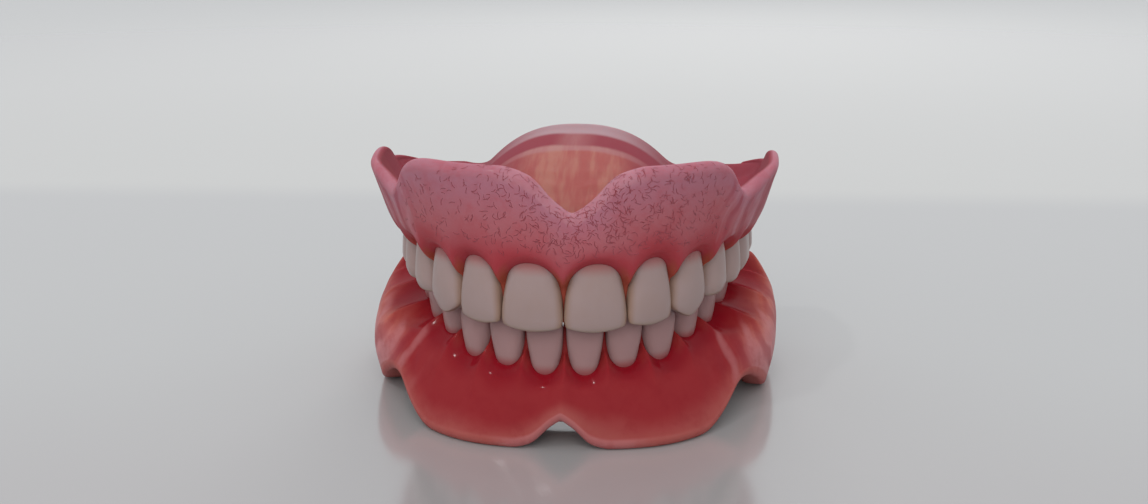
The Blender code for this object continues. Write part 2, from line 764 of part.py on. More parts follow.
def stand_on_origin(parts, cutters):
    """Hang everything on one empty, so that the box's bottom centre is the origin."""
    corners = [vertex.co for part in parts for vertex in part.data.vertices]
    lowest = Vector([min(corner[axis] for corner in corners) for axis in range(3)])
    highest = Vector([max(corner[axis] for corner in corners) for axis in range(3)])
    carrier = bpy.data.objects.new("denture_origin", None)
    bpy.context.scene.collection.objects.link(carrier)
    middle = (lowest + highest) / 2
    carrier.location = (-middle.x, -middle.y, -lowest.z)
    for piece in parts + cutters:
        piece.parent = carrier


def build():
    for leftover in list(bpy.data.objects):
        bpy.data.objects.remove(leftover, do_unlink=True)
    collection = bpy.data.collections.new("full_denture")
    bpy.context.scene.collection.children.link(collection)
    pink_upper = material("pink_acrylic_upper", PINK_UPPER, 0.2)
    pink_lower = material("pink_acrylic_lower", PINK_LOWER, 0.2)
    shade_upper = material("tooth_resin_upper", TOOTH_SHADE_UPPER, 0.25)
    shade_lower = material("tooth_resin_lower", TOOTH_SHADE_LOWER, 0.25)

    stations = UPPER.stations(UPPER_NOTCH, UPPER_HEEL_LENGTH)
    sections = base_sections(upper_section, stations, UPPER, UPPER_HEEL_LENGTH, upper_middle)
    upper_base = add_object("upper_base", base_mesh("upper_base", sections), pink_upper, collection)
    stations = LOWER.stations(LOWER_NOTCH, LOWER_HEEL_LENGTH)
    sections = base_sections(lower_section, stations, LOWER, LOWER_HEEL_LENGTH, lower_middle)
    lower_base = add_object("lower_base", base_mesh("lower_base", sections), pink_lower, collection)
    parts = [upper_base, lower_base]
    parts += add_teeth("upper", UPPER, shade_upper, collection)
    parts += add_teeth("lower", LOWER, shade_lower, collection)
    cutters = cut_sockets(upper_base, "upper", UPPER)
    cutters += cut_sockets(lower_base, "lower", LOWER)
    stand_on_origin(parts, cutters)


build()
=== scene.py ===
"""Looks of an upper and lower full denture in bite: two acrylic bases and twenty-eight set teeth.

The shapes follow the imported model. Sizes in the functions are in millimetres, with the front of
the upper arch at y = 0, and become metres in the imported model's frame where a mesh is made. +Z is
up, +X is the wearer's left and -Y is the front. Stations run along the arch from the midline, and
an inset is a distance from the arch towards the tongue.
"""

import bisect
import math
from collections import namedtuple

import bmesh
import bpy
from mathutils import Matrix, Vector


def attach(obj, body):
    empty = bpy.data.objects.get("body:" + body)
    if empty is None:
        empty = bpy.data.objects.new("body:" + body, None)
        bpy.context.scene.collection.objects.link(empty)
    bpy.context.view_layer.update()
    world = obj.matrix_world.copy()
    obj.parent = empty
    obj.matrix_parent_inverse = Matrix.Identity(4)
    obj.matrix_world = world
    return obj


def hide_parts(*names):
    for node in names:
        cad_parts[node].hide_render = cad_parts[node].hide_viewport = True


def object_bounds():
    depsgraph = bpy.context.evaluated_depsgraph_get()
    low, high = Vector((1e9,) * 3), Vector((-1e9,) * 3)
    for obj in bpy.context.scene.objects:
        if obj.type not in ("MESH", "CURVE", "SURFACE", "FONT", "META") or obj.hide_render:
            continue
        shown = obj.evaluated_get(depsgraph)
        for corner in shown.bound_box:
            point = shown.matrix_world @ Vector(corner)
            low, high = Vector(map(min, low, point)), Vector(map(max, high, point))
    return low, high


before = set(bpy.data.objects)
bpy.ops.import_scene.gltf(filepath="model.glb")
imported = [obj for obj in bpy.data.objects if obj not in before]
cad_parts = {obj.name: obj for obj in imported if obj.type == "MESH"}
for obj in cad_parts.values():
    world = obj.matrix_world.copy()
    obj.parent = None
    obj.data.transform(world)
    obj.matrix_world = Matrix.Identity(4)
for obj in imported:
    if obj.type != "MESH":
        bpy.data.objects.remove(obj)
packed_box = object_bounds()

bl_info = {
    "name": "Full denture",
    "version": (1, 0, 0),
    "blender": (4, 5, 0),
    "location": "View3D > Sidebar > Denture",
    "description": "Acrylic bases, set teeth and studio for a full denture",
    "category": "Object",
}

MM = 0.001
FRAME_Y = -24.875

# Arch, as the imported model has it
ARCH_HALF_WIDTH = 28.6
ARCH_DEPTH = 48.9
ARCH_SQUARENESS = 2.2
ARCH_STEPS = 240
FAN_REACH = 9.0
WALK_STEP = 0.05
OVERJET = 2.8
BITE_GAP = 0.5
BITE_Z = 17.4
CUSP_INSET = 1.5
CUSP_PITCH = 6.0
CUSP_HEIGHT = 1.4
FISSURE_DEPTH = 0.5

# The borders follow a squarer line than the teeth. Heights are at shares of the row's length
BORDER_SQUARENESS = 3.0
WIDEST_OUTSET = 6.0
Knot = namedtuple("Knot", "share height")

# Upper base
LABIAL_BORDER_Z = 39.2
CHEEK_BORDER_Z = 33.6
WING_BORDER_Z = 35.2
UPPER_BORDER = [Knot(*pair) for pair in (
    (0.0, LABIAL_BORDER_Z), (0.25, LABIAL_BORDER_Z), (0.36, LABIAL_BORDER_Z - 0.3),
    (0.415, LABIAL_BORDER_Z - 1.5), (0.45, CHEEK_BORDER_Z + 1.8), (0.49, CHEEK_BORDER_Z),
    (0.54, CHEEK_BORDER_Z), (0.61, WING_BORDER_Z - 0.7), (0.7, WING_BORDER_Z - 0.1),
    (0.83, WING_BORDER_Z), (0.92, WING_BORDER_Z - 1.0), (1.0, WING_BORDER_Z - 3.4),
)]
UPPER_HEEL_Z = 30.6
UPPER_HEEL_ROUND = 5.5
UPPER_TROUGH_FRONT_Z = 29.9
UPPER_TROUGH_BACK_Z = 28.3
UPPER_TROUGH_INSET = 5.3
UPPER_WING_FLARE = 2.5
PALATE_FOOT_Z = 29.8
PALATE_TOP_Z = 37.1
PALATE_INSET = 10.5
DOME_HALF_WIDTH = 15.6
DOME_SQUARENESS = 2.5
PALATE_BACK_Y = 47.0
PALATE_FOLD_Y = 18.0
PALATE_THICKNESS = 2.2
PALATE_FROM_TOOTH = 3.4
RUGAE_PITCH = 3.4
RUGAE_LEAN = 0.45
RUGAE_FROM_Y = 12.0
RUGAE_TO_Y = 27.0
RUGAE_HALF_WIDTH = 12.5
POST_DAM_HEIGHT = 0.5
POST_DAM_HALF_WIDTH = 1.2
POST_DAM_FROM_BACK = 4.5

# Lower base
LOWER_HEEL_Z = 16.6
LOWER_HEEL_FLOOR_Z = 13.0
LOWER_HEEL_ROUND = 2.6
LOWER_BORDER_RISE = 13.0
LOWER_CHEEK_BORDER_Z = 5.0
LOWER_BORDER = [Knot(share, part * LOWER_CHEEK_BORDER_Z) for share, part in (
    (0.0, 0.0), (0.34, 0.0), (0.4, 0.25), (0.46, 0.66), (0.51, 0.95), (0.56, 0.95), (0.62, 0.6),
    (0.67, 0.18), (0.715, 0.0), (1.0, 0.0),
)]
LOWER_TROUGH_FRONT_Z = 6.7
LOWER_TROUGH_BACK_Z = 8.2
LOWER_FOOT_INSET = 0.2
LOWER_WING_FLARE = 2.3
LOWER_WING_FULLNESS = 4.7
LOWER_BORDER_HALF = 0.9
LINGUAL_BORDER_Z = 0.9
LINGUAL_OUTSET = 1.5
LINGUAL_WALL = 1.9

# Borders and gums
BORDER_THICKNESS = 2.8
WING_BORDER_THICKNESS = 1.7
BORDER_ROUND = 1.3
REST_FLAT_WIDTH = 1.4
WING_FLAT_WIDTH = 2.6
FLANGE_FULLNESS = 0.5
FULLNESS_RISE = 0.6
GUM_LIP = 0.3
GUM_ROLL = 0.9
TONGUE_SIDE_STEP = 1.6
LARGEST_TUCK = 0.9
FOLD_STATION = 30.0
FOLD_LEAN = 7.0
FOLD_REACH = 8.0

# Notches for the folds of the lips, and the share of the depth at shares of the half width
Notch = namedtuple("Notch", "station half_width depth")
UPPER_NOTCH = Notch(1.3, 9.5, 6.4)
LOWER_NOTCH = Notch(-0.4, 6.4, 4.2)
NOTCH_SHAPE = (Knot(0.0, 1.0), Knot(0.35, 0.61), Knot(0.55, 0.25), Knot(0.75, 0.1), Knot(1.0, 0.0))

Tooth = namedtuple("Tooth", "name kind width depth height tip")
TOOTH_NAMES = ("central_incisor", "lateral_incisor", "canine", "first_premolar", "second_premolar",
               "first_molar", "second_molar")


def side_of_teeth(*measures):
    """One side's teeth from the middle to the back, from the width, depth, height and tip of each."""
    return [Tooth(name, name.split("_")[-1], *row) for name, row in zip(TOOTH_NAMES, measures)]


UPPER_TEETH = side_of_teeth(
    (9.1, 6.4, 9.6, -0.8), (7.4, 5.8, 9.5, -0.55), (8.1, 7.2, 9.4, -1.0), (7.5, 9.2, 8.0, 0.0),
    (6.9, 9.2, 7.5, 0.0), (9.5, 9.6, 6.9, 0.0), (8.9, 9.6, 6.6, 0.0))
LOWER_TEETH = side_of_teeth(
    (5.8, 5.0, 8.1, 0.5), (6.1, 5.2, 7.4, 0.5), (6.9, 6.2, 7.8, 0.8), (7.0, 8.6, 6.8, 1.4),
    (7.0, 8.8, 6.6, 1.4), (10.3, 9.2, 5.7, 1.4), (9.8, 9.2, 5.5, 1.4))
CUSPS_ALONG = {"incisor": 1, "canine": 1, "premolar": 1, "molar": 2}
PAPILLA_SHARE = {"incisor": 0.43, "canine": 0.4, "premolar": 0.3, "molar": 0.24}

# A crown from its neck to its edge: height share, width share, face inset, back share
Ring = namedtuple("Ring", "height width face back")
CROWN_RINGS = {
    "incisor": ((-0.2, 0.6, 0.9, 0.8), (0.0, 0.74, 0.42, 0.88), (0.22, 0.87, 0.12, 0.92),
                (0.55, 0.97, 0.0, 0.6), (0.85, 1.0, 0.25, 0.38), (1.0, 0.92, 0.6, 0.28)),
    "canine": ((-0.2, 0.59, 0.9, 0.84), (0.0, 0.72, 0.42, 0.92), (0.22, 0.84, 0.1, 0.96),
               (0.55, 0.97, 0.0, 0.7), (0.82, 0.97, 0.25, 0.46), (1.0, 0.72, 0.65, 0.34)),
    "premolar": ((-0.24, 0.62, 1.0, 0.85), (0.0, 0.76, 0.5, 0.93), (0.35, 0.9, 0.15, 0.98),
                 (0.72, 1.0, 0.0, 1.0)),
    "molar": ((-0.28, 0.69, 1.0, 0.86), (0.0, 0.83, 0.5, 0.94), (0.35, 0.94, 0.15, 0.98),
              (0.72, 1.0, 0.0, 1.0)),
}
FRONT_HEIGHTS = (-0.2, -0.1, 0.0, 0.08, 0.16, 0.26, 0.36, 0.47, 0.58, 0.68, 0.78, 0.86, 0.93, 0.97)
BACK_HEIGHTS = (-0.2, -0.1, 0.0, 0.08, 0.16, 0.26, 0.36, 0.47, 0.58, 0.72)
WALL_RING = Ring(0.72, 1.0, 0.0, 1.0)
TABLE_RING = Ring(1.0, 0.93, 0.45, 0.95)
TABLE_SCALES = (1.0, 0.93, 0.82, 0.7, 0.56, 0.42, 0.28, 0.12)
EDGE_ROUNDING = {"incisor": 0.05, "canine": 0.16}
EDGE_LIFT = 0.28
TOOTH_SIDES = 32
TOOTH_SQUARENESS = 2.8

STATIONS_PER_TOOTH = 10
GATHERING = 0.55
HEEL_STATIONS = 9
HEEL_TURN = math.radians(66.0)
SIDE_POINTS = 42
MERGE_WITHIN = 0.002

# The fibres' middle and reach along x, the end of their field behind and the start above, in mm
FIBRES_X = 3.0
FIBRES_REACH = 11.0
FIBRES_TO_Y = 14.0
FIBRES_FROM_Z = 25.0
FACE_SHARES = (0.9, 0.78, 0.65, 0.52, 0.4, 0.28, 0.17, 0.07)
OUTER_ARC = (90.0, 118.0, 148.0, 180.0)
INNER_ARC = (90.0, 60.0, 30.0)


def ease(value):
    """Rise smoothly from 0 to 1 as the value does, and stay level outside."""
    share = max(0.0, min(1.0, value))
    return share * share * (3.0 - 2.0 * share)


def blend(first, second, share):
    return first + (second - first) * share


def round_off(value):
    """Rise from 0 to 1 along a quarter circle, slowly at first and steeply at the end."""
    share = max(0.0, min(1.0, value))
    return 1.0 - math.sqrt(1.0 - share * share)


def bell(value):
    return math.exp(-value * value)


def smooth_line(points, count):
    """A smooth line through points given as rows of numbers, cut into a fixed count."""
    line = []
    last = len(points) - 1
    for step in range(count):
        where = step / (count - 1) * last
        index = min(int(where), last - 1)
        t = where - index
        before, after = points[max(index - 1, 0)], points[min(index + 2, last)]
        line.append([
            b + 0.5 * t * (c - a + t * (2 * a - 5 * b + 4 * c - d + t * (3 * (b - c) + d - a)))
            for a, b, c, d in zip(before, points[index], points[index + 1], after)])
    return line


def smooth_height(knots, share):
    """Height at a share, on a smooth curve through knots of share and height."""
    index = 0
    while index < len(knots) - 2 and knots[index + 1][0] < share:
        index += 1
    near_at, near = knots[index]
    far_at, far = knots[index + 1]
    before_at, before = knots[max(index - 1, 0)]
    after_at, after = knots[min(index + 2, len(knots) - 1)]
    part = max(0.0, min(1.0, (share - near_at) / (far_at - near_at)))
    slope_near = (far - before) / (far_at - before_at) * (far_at - near_at)
    slope_far = (after - near) / (after_at - near_at) * (far_at - near_at)
    bend = slope_near * part * (1.0 - part) ** 2 - slope_far * part * part * (1.0 - part)
    return blend(near, far, ease(part)) + bend


def arch_samples():
    """Distance along the arch, x and y of points from the midline to the back."""
    power = 2.0 / ARCH_SQUARENESS
    samples = [(0.0, 0.0, 0.0)]
    for step in range(1, ARCH_STEPS + 1):
        angle = step / ARCH_STEPS * math.pi / 2
        x = ARCH_HALF_WIDTH * math.sin(angle) ** power
        y = ARCH_DEPTH * (1.0 - max(math.cos(angle), 0.0) ** power)
        length, last_x, last_y = samples[-1]
        samples.append((length + math.hypot(x - last_x, y - last_y), x, y))
    return samples


ARCH = arch_samples()


def on_arch(station):
    """Point of the arch at a station. Past its end the arch runs straight back."""
    distance = abs(station)
    side = math.copysign(1.0, station)
    end, x, y = ARCH[-1]
    if distance >= end:
        return Vector((side * x, y + distance - end))
    index = bisect.bisect_right(ARCH, (distance, math.inf, math.inf))
    near, near_x, near_y = ARCH[index - 1]
    far, far_x, far_y = ARCH[index]
    share = (distance - near) / (far - near)
    return Vector((side * blend(near_x, far_x, share), blend(near_y, far_y, share)))


def place(station, inset, height):
    """Point at an inset, in a direction that turns more gently than the arch itself."""
    chord = (on_arch(station + FAN_REACH) - on_arch(station - FAN_REACH)).normalized()
    spot = on_arch(station) + Vector((-chord.y, chord.x)) * inset
    return Vector((spot.x, spot.y, height))


def outset(station):
    """How far outside the teeth's arch the squarer line of the borders runs."""
    near, far = 0.0, WIDEST_OUTSET
    for _ in range(24):
        middle = (near + far) / 2
        spot = place(station, -middle, 0.0)
        across = abs(spot.x) / ARCH_HALF_WIDTH
        ahead = max(ARCH_DEPTH - spot.y, 0.0) / ARCH_DEPTH
        if across ** BORDER_SQUARENESS + ahead ** BORDER_SQUARENESS < 1.0:
            near = middle
        else:
            far = middle
    return near


def contact_stations(teeth, setback):
    """Stations where neighbouring crowns meet, walked along a line set back from the arch."""
    stations = [0.0]
    station = run = goal = 0.0
    for tooth in teeth:
        goal += tooth.width
        while run < goal:
            ahead, behind = place(station + 0.5, setback, 0.0), place(station - 0.5, setback, 0.0)
            run += WALK_STEP * (ahead - behind).length
            station += WALK_STEP
        stations.append(station)
    return stations


class Row:
    """One row of teeth: where they stand, and how its base's gum line and folds run past them."""

    def __init__(self, teeth, setback, up, contact_gap, heel_length, wing_from, wing_run,
                 fold_pitch, septum_from):
        self.teeth, self.setback, self.up, self.contact_gap = teeth, setback, up, contact_gap
        self.heel_length, self.wing_from, self.wing_run = heel_length, wing_from, wing_run
        self.fold_pitch, self.septum_from = fold_pitch, septum_from
        self.contacts = contact_stations(teeth, setback)
        self.end = self.contacts[-1]

    def locate(self, station):
        """Index of the tooth at a station, and how far across it the station lies."""
        distance = min(abs(station), self.end - 1e-6)
        index = bisect.bisect_right(self.contacts, distance) - 1
        near, far = self.contacts[index], self.contacts[index + 1]
        return index, (distance - near) / (far - near)

    def between_centres(self, station, value):
        """A value of the teeth, run smoothly from one tooth's middle to the next one's."""
        index, share = self.locate(station)
        other = index + (1 if share > 0.5 else -1)
        other = max(0, min(len(self.teeth) - 1, other))
        return blend(value(self.teeth[index]), value(self.teeth[other]), ease(abs(share - 0.5)))

    def neck_z(self, tooth):
        return BITE_Z + tooth.tip - self.up * tooth.height

    def across(self, station):
        """0 at a tooth's middle and 1 at its contacts, and 0 past the last tooth."""
        if abs(station) > self.end:
            return 0.0
        return abs(2.0 * self.locate(station)[1] - 1.0)

    def tongue_step(self, station):
        """How much nearer the crown's edge the gum line runs on the tongue side."""
        front = self.contacts[3]
        return TONGUE_SIDE_STEP * (1.0 - 0.7 * ease((abs(station) - front) / front))

    def folds(self, station, share):
        """Ridges (1) and grooves (-1) beside a cheek notch, fading away from it and at the gum."""
        off = abs(station) - FOLD_STATION + self.up * FOLD_LEAN * (share - 0.5)
        return math.cos(math.tau * off / self.fold_pitch) * bell(off / FOLD_REACH) * ease(share * 4.0)

    def stations(self):
        """Stations of the base's sections from one heel to the other."""
        half = []
        for near, far in zip(self.contacts, self.contacts[1:]):
            for step in range(STATIONS_PER_TOOTH):
                share = step / STATIONS_PER_TOOTH
                share -= GATHERING * math.sin(math.tau * share) / math.tau
                half.append(blend(near, far, share))
        for step in range(HEEL_STATIONS + 1):
            turn = step / HEEL_STATIONS * HEEL_TURN
            half.append(self.end + self.heel_length * math.sin(turn))
        return [-station for station in reversed(half[1:])] + half


UPPER = Row(UPPER_TEETH, setback=0.0, up=-1.0, contact_gap=0.05, heel_length=6.5,
            wing_from=0.48, wing_run=0.24, fold_pitch=3.4, septum_from=0.9)
LOWER = Row(LOWER_TEETH, setback=OVERJET, up=1.0, contact_gap=0.45, heel_length=8.0,
            wing_from=0.47, wing_run=0.2, fold_pitch=4.2, septum_from=0.88)


def bite(station, inset):
    """Height where the back teeth meet: each row's cusps lie in the other row's grooves."""
    index, share = UPPER.locate(station)
    cusps = CUSPS_ALONG[UPPER_TEETH[index].kind]
    across = 0.5 - 0.5 * math.cos(math.tau * (inset - CUSP_INSET) / CUSP_PITCH)
    along = 0.5 + 0.5 * math.cos(math.tau * share * cusps)
    return BITE_Z + CUSP_HEIGHT * across + FISSURE_DEPTH * along


def notch_cut(station, notch):
    """How far a lip's notch moves the border at a station."""
    reach = abs(station - notch.station) / notch.half_width
    return notch.depth * smooth_height(NOTCH_SHAPE, reach) if reach < 1.0 else 0.0


def rugae(x, y, height):
    """Curved ridges across the front of the palate."""
    wave = math.sin(math.tau * (y - RUGAE_LEAN * abs(x)) / RUGAE_PITCH)
    there = ease((y - RUGAE_FROM_Y) / 3.0) * ease((RUGAE_TO_Y - y) / 5.0) * ease((abs(x) - 0.6) / 2.0)
    return height * wave * there * ease((RUGAE_HALF_WIDTH - abs(x)) / 4.0)


def vault(x, y, ridges):
    """Height of the fitting side of the palate."""
    from_back = max(PALATE_BACK_Y - y, 0.0)
    fall = (abs(x) / DOME_HALF_WIDTH) ** DOME_SQUARENESS
    fall += (from_back / (PALATE_BACK_Y - PALATE_INSET)) ** 3
    dome = (PALATE_TOP_Z - PALATE_FOOT_Z) * max(1.0 - fall, 0.0)
    bead = bell((from_back - POST_DAM_FROM_BACK) / POST_DAM_HALF_WIDTH)
    dam = POST_DAM_HEIGHT * bead * ease(1.5 - abs(x) / DOME_HALF_WIDTH)
    return PALATE_FOOT_Z + dome + dam - rugae(x, y, ridges)


def palate_line(station, inset, points, thickness, ridges):
    """Points from the side of the palate to its midline, from a section's own station."""
    start = place(station, inset, 0.0)
    middle_y = blend(PALATE_FOLD_Y, PALATE_BACK_Y, abs(station) / (UPPER.end + UPPER.heel_length))
    line = []
    for step in range(points + 1):
        x = blend(start.x, 0.0, step / points)
        y = blend(start.y, middle_y, step / points)
        line.append((x, y, vault(x, y, ridges) - thickness))
    return line


def flange_face(fullness, flare, share):
    """Inset of a flange's polished face, from the gum (0) to the border (1)."""
    return -GUM_LIP - fullness * math.sin(math.pi * share ** FULLNESS_RISE) - flare * share


def border_arc(angles, face, radius, border, rounding):
    """Points (inset, height, rise) round a border, whose polished face is at 180 degrees."""
    return [(face + radius * (1.0 + math.cos(turn)), border - rounding * (1.0 - math.sin(turn)), 1.0)
            for turn in map(math.radians, angles)]


def at_station(station, points, tissue):
    """Rows of x, y, z, rise and tissue at points given as inset, height and rise."""
    return [(*place(station, inset, height), rise, tissue) for inset, height, rise in points]


class Cut:
    """What the sections of both bases share at a station."""

    def __init__(self, row, station, sizes):
        self.row, self.station, self.sizes = row, station, sizes
        self.share = abs(station) / row.end
        past = (abs(station) - row.end) / row.heel_length
        self.wing = ease((self.share - row.wing_from) / row.wing_run)
        self.back, self.heel, self.corner = ease(self.share), ease(past), round_off(past)
        self.body = 1.0 - self.heel
        self.across = row.across(station)
        self.gap = self.across ** sizes.papilla_sharpness
        self.neck = row.between_centres(station, row.neck_z)
        self.depth = row.between_centres(station, lambda tooth: tooth.depth)
        self.papilla = self.gap * row.between_centres(
            station, lambda tooth: tooth.height * PAPILLA_SHARE[tooth.kind])
        self.tongue_step = row.tongue_step(station) * (1.0 - self.gap) * self.body
        corner = (1.0 - min(self.across, 1.0) ** TOOTH_SQUARENESS) ** (1.0 / TOOTH_SQUARENESS)
        self.tucked = min(LARGEST_TUCK, self.depth / 2 * (1.0 - corner)) * (1.0 - self.corner)
        self.septum = (sizes.septum * row.between_centres(station, lambda tooth: tooth.height)
                       * min(1.0, (self.across / row.septum_from) ** 10) * self.body)

    def face(self, neck, margin, edge, fullness, flare, shift):
        """Points (inset, height, rise) of the polished face, from the border to the gum line."""
        sizes, roll = self.sizes, -self.row.up * GUM_ROLL
        juga = sizes.root_bulge / MM * (1.0 - 2.0 * self.across ** 2) * self.body
        sink = (sizes.papilla_sink * self.gap + sizes.margin_sink) / MM * self.body
        points = []
        for share in FACE_SHARES:
            low = 1.0 - share
            ridge = sizes.fold_depth / MM * self.row.folds(self.station, share) * self.body
            inset = self.row.setback + flange_face(fullness, flare, share) + shift
            inset -= juga * low + ridge - sink * low ** 3
            height = blend(blend(neck + roll, edge, share), margin + roll, low ** 3)
            points.append((inset, height, share))
        return points


def upper_section(station, sizes):
    """Fitting side and polished side of the upper base as rows of x, y, z, rise and tissue."""
    cut = Cut(UPPER, station, sizes)
    heel, corner, depth, tucked, septum = cut.heel, cut.corner, cut.depth, cut.tucked, cut.septum
    plate = UPPER_HEEL_Z - PALATE_THICKNESS
    neck = blend(cut.neck, plate, corner)
    margin = neck - cut.papilla * (1.0 - corner)
    tongue = margin - cut.tongue_step
    border = smooth_height(UPPER_BORDER, cut.share) - notch_cut(station, UPPER_NOTCH)
    border = blend(border, UPPER_HEEL_Z + 0.4, corner)
    trough = blend(UPPER_TROUGH_FRONT_Z, UPPER_TROUGH_BACK_Z, cut.back)
    trough = blend(trough, UPPER_HEEL_Z - 0.2, heel)
    flare = outset(station) + UPPER_WING_FLARE * cut.wing
    shift = UPPER_HEEL_ROUND * corner
    thickness = blend(BORDER_THICKNESS, WING_BORDER_THICKNESS, cut.wing)
    rounding = BORDER_ROUND * thickness / BORDER_THICKNESS
    edge = flange_face(FLANGE_FULLNESS, flare, 1.0) + shift

    outside = border_arc(OUTER_ARC, edge, thickness / 2, border, rounding)
    outside += cut.face(neck, margin, border - rounding, FLANGE_FULLNESS, flare, shift)
    outside += [
        (0.15 + 0.9 * tucked + shift, margin + 0.3, 0.0),
        (0.75 + tucked + shift, margin + 0.05, 0.0),
        (depth * 0.3 + 0.5 * tucked + shift * 0.6, margin + 0.4 - septum, 0.0),
        (depth * 0.48 + 0.2 * tucked + shift * 0.4, margin + 0.4 - septum, 0.0),
        (depth * 0.75 + shift * 0.2, blend(margin, tongue, 0.7) + 0.4 - 0.2 * septum, 0.0),
        (depth - 0.25, tongue + 0.1, 0.0),
        (depth + 0.25, tongue + 0.2, 0.0),
        (depth + 0.8, blend(tongue + 0.7, plate, heel), 0.2),
        (depth + 1.6, blend(tongue + 1.5, plate, heel), 0.4),
    ]
    ridges = sizes.rugae_height / MM
    polished = at_station(station, outside, 0.0)
    underside = palate_line(station, depth + PALATE_FROM_TOOTH, 9, PALATE_THICKNESS, ridges)
    polished += [(*point, 0.6, 0.0) for point in underside]

    inside = border_arc(INNER_ARC, edge, thickness / 2, border, rounding)
    for share in (1.0, 0.8, 0.62, 0.45, 0.3, 0.18, 0.08, 0.02, 0.0):
        inset = blend(UPPER_TROUGH_INSET, edge + thickness, share ** 0.35)
        inside.append((inset, blend(trough, border - rounding, share), 1.0))
    for share in (0.25, 0.55, 0.8):
        lift = 0.5 * math.sin(math.pi * share) * cut.body
        inside.append((blend(UPPER_TROUGH_INSET, PALATE_INSET, share), trough + lift, 1.0))
    tissue = at_station(station, inside, 1.0)
    tissue[0] = (*tissue[0][:4], 0.0)
    tissue += [(*point, 1.0, 1.0) for point in palate_line(station, PALATE_INSET, 10, 0.0, ridges)]
    return tissue, polished


def lower_section(station, sizes):
    """Fitting side and polished side of the lower base as rows of x, y, z, rise and tissue."""
    cut = Cut(LOWER, station, sizes)
    heel, depth, tucked, septum = cut.heel, cut.depth, cut.tucked, cut.septum
    rise = round_off(1.0 + (abs(station) - LOWER.end - LOWER.heel_length) / LOWER_BORDER_RISE)
    shift = LOWER_HEEL_ROUND * cut.corner
    neck = blend(cut.neck, LOWER_HEEL_Z, heel)
    margin = neck + cut.papilla * cut.body
    tongue = margin + 0.4 * cut.tongue_step
    border = max(smooth_height(LOWER_BORDER, cut.share), notch_cut(station, LOWER_NOTCH))
    border = blend(border, LOWER_HEEL_FLOOR_Z, rise)
    trough = blend(LOWER_TROUGH_FRONT_Z, LOWER_TROUGH_BACK_Z, cut.back)
    trough = max(blend(trough, LOWER_HEEL_FLOOR_Z, heel), border + 0.3)
    fullness = blend(FLANGE_FULLNESS, LOWER_WING_FULLNESS, cut.wing) * (1.0 - 0.4 * heel)
    flare = OVERJET - (LOWER_FOOT_INSET - outset(station) - LOWER_WING_FLARE * cut.wing)
    shoulder = OVERJET + flange_face(fullness, flare, 1.0) + shift
    inner = OVERJET + depth + GUM_LIP - shift
    border_inset = inner + LINGUAL_OUTSET
    edge = blend(LINGUAL_BORDER_Z, LOWER_HEEL_FLOOR_Z, rise)

    outside = border_arc(OUTER_ARC, shoulder, LOWER_BORDER_HALF, border, -BORDER_ROUND)
    outside += cut.face(neck, margin, border + BORDER_ROUND, fullness, flare, shift)
    outside += [
        (OVERJET + 0.15 + 0.9 * tucked + shift, margin - 0.3, 0.0),
        (OVERJET + 0.75 + tucked + shift, margin - 0.05, 0.0),
        (OVERJET + depth * 0.28 + 0.4 * tucked + shift * 0.4, margin - 0.4 + septum, 0.0),
        (OVERJET + depth * 0.46 + 0.4 * tucked + shift * 0.4, margin - 0.4 + septum, 0.0),
        (OVERJET + depth * 0.75 - shift * 0.4, blend(margin, tongue, 0.7) - 0.4 + 0.2 * septum, 0.0),
        (inner - 0.6, tongue - 0.1 - 0.3 * heel, 0.0),
        (inner - 0.1, tongue - 0.2 - 0.3 * heel, 0.0),
    ]
    for share, out in ((0.12, 0.25), (0.3, 0.33), (0.5, 0.4), (0.7, 0.55), (0.85, 0.78)):
        outside.append((inner + out * LINGUAL_OUTSET, blend(tongue, edge, share), share))
    outside += [
        (border_inset, edge + BORDER_ROUND * (1.0 - 0.5 * heel), 1.0),
        (border_inset - 0.25, edge + 0.45, 1.0),
        (border_inset - 0.9, edge, 1.0),
    ]
    polished = at_station(station, outside, 0.0)

    outer_wall = shoulder + LOWER_BORDER_HALF + blend(REST_FLAT_WIDTH, WING_FLAT_WIDTH, cut.wing)
    inner_wall = border_inset - LINGUAL_WALL
    middle = (outer_wall + inner_wall) / 2
    down = (1.0, 0.82, 0.6, 0.38, 0.2, 0.07, 0.0)
    inside = [(blend(middle, outer_wall, share ** 0.4), blend(trough, border, share), 1.0)
              for share in down]
    inside += [(blend(middle, inner_wall, share ** 0.4), blend(trough, edge, share), 1.0)
               for share in reversed(down[:-1])]
    ends = [(*polished[end][:3], 1.0, 0.5) for end in (0, -1)]
    return ends[:1] + at_station(station, inside, 1.0) + ends[1:], polished


def upper_middle(x, y):
    """Height of the middle of the palate plate."""
    return max(vault(x, y, 0.0), UPPER_HEEL_Z) - PALATE_THICKNESS / 2


def lower_middle(x, y):
    """Height of the middle of the lower heel's plate."""
    return (LOWER_HEEL_Z + LOWER_HEEL_FLOOR_Z) / 2


def base_sections(row, section, middle, sizes):
    """A base's sections, thinned past the last teeth towards its heels' round edges."""
    sections = []
    for station in row.stations():
        past = max(0.0, (abs(station) - row.end) / row.heel_length)
        thinning = math.cos(math.asin(min(past, 1.0)))
        where = (row.across(station), abs(station) / row.end)
        sections.append([
            [(x, y, blend(middle(x, y), z, thinning), *rest, *where) for x, y, z, *rest in side]
            for side in section(station, sizes)])
    return sections


def add_points(mesh, points, layers):
    """Vertices at points given as x, y, z and the layers' values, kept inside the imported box."""
    low, high = packed_box
    made = []
    for x, y, z, *values in points:
        spot = Vector((x, y + FRAME_Y, z)) * MM
        vertex = mesh.verts.new([max(low[axis], min(high[axis], spot[axis])) for axis in range(3)])
        for layer, value in zip(layers, values):
            vertex[layer] = value
        made.append(vertex)
    return made


def skin(mesh, near, far):
    """Faces between two rows of vertices."""
    for corners in zip(near, near[1:], far[1:], far):
        mesh.faces.new(corners)


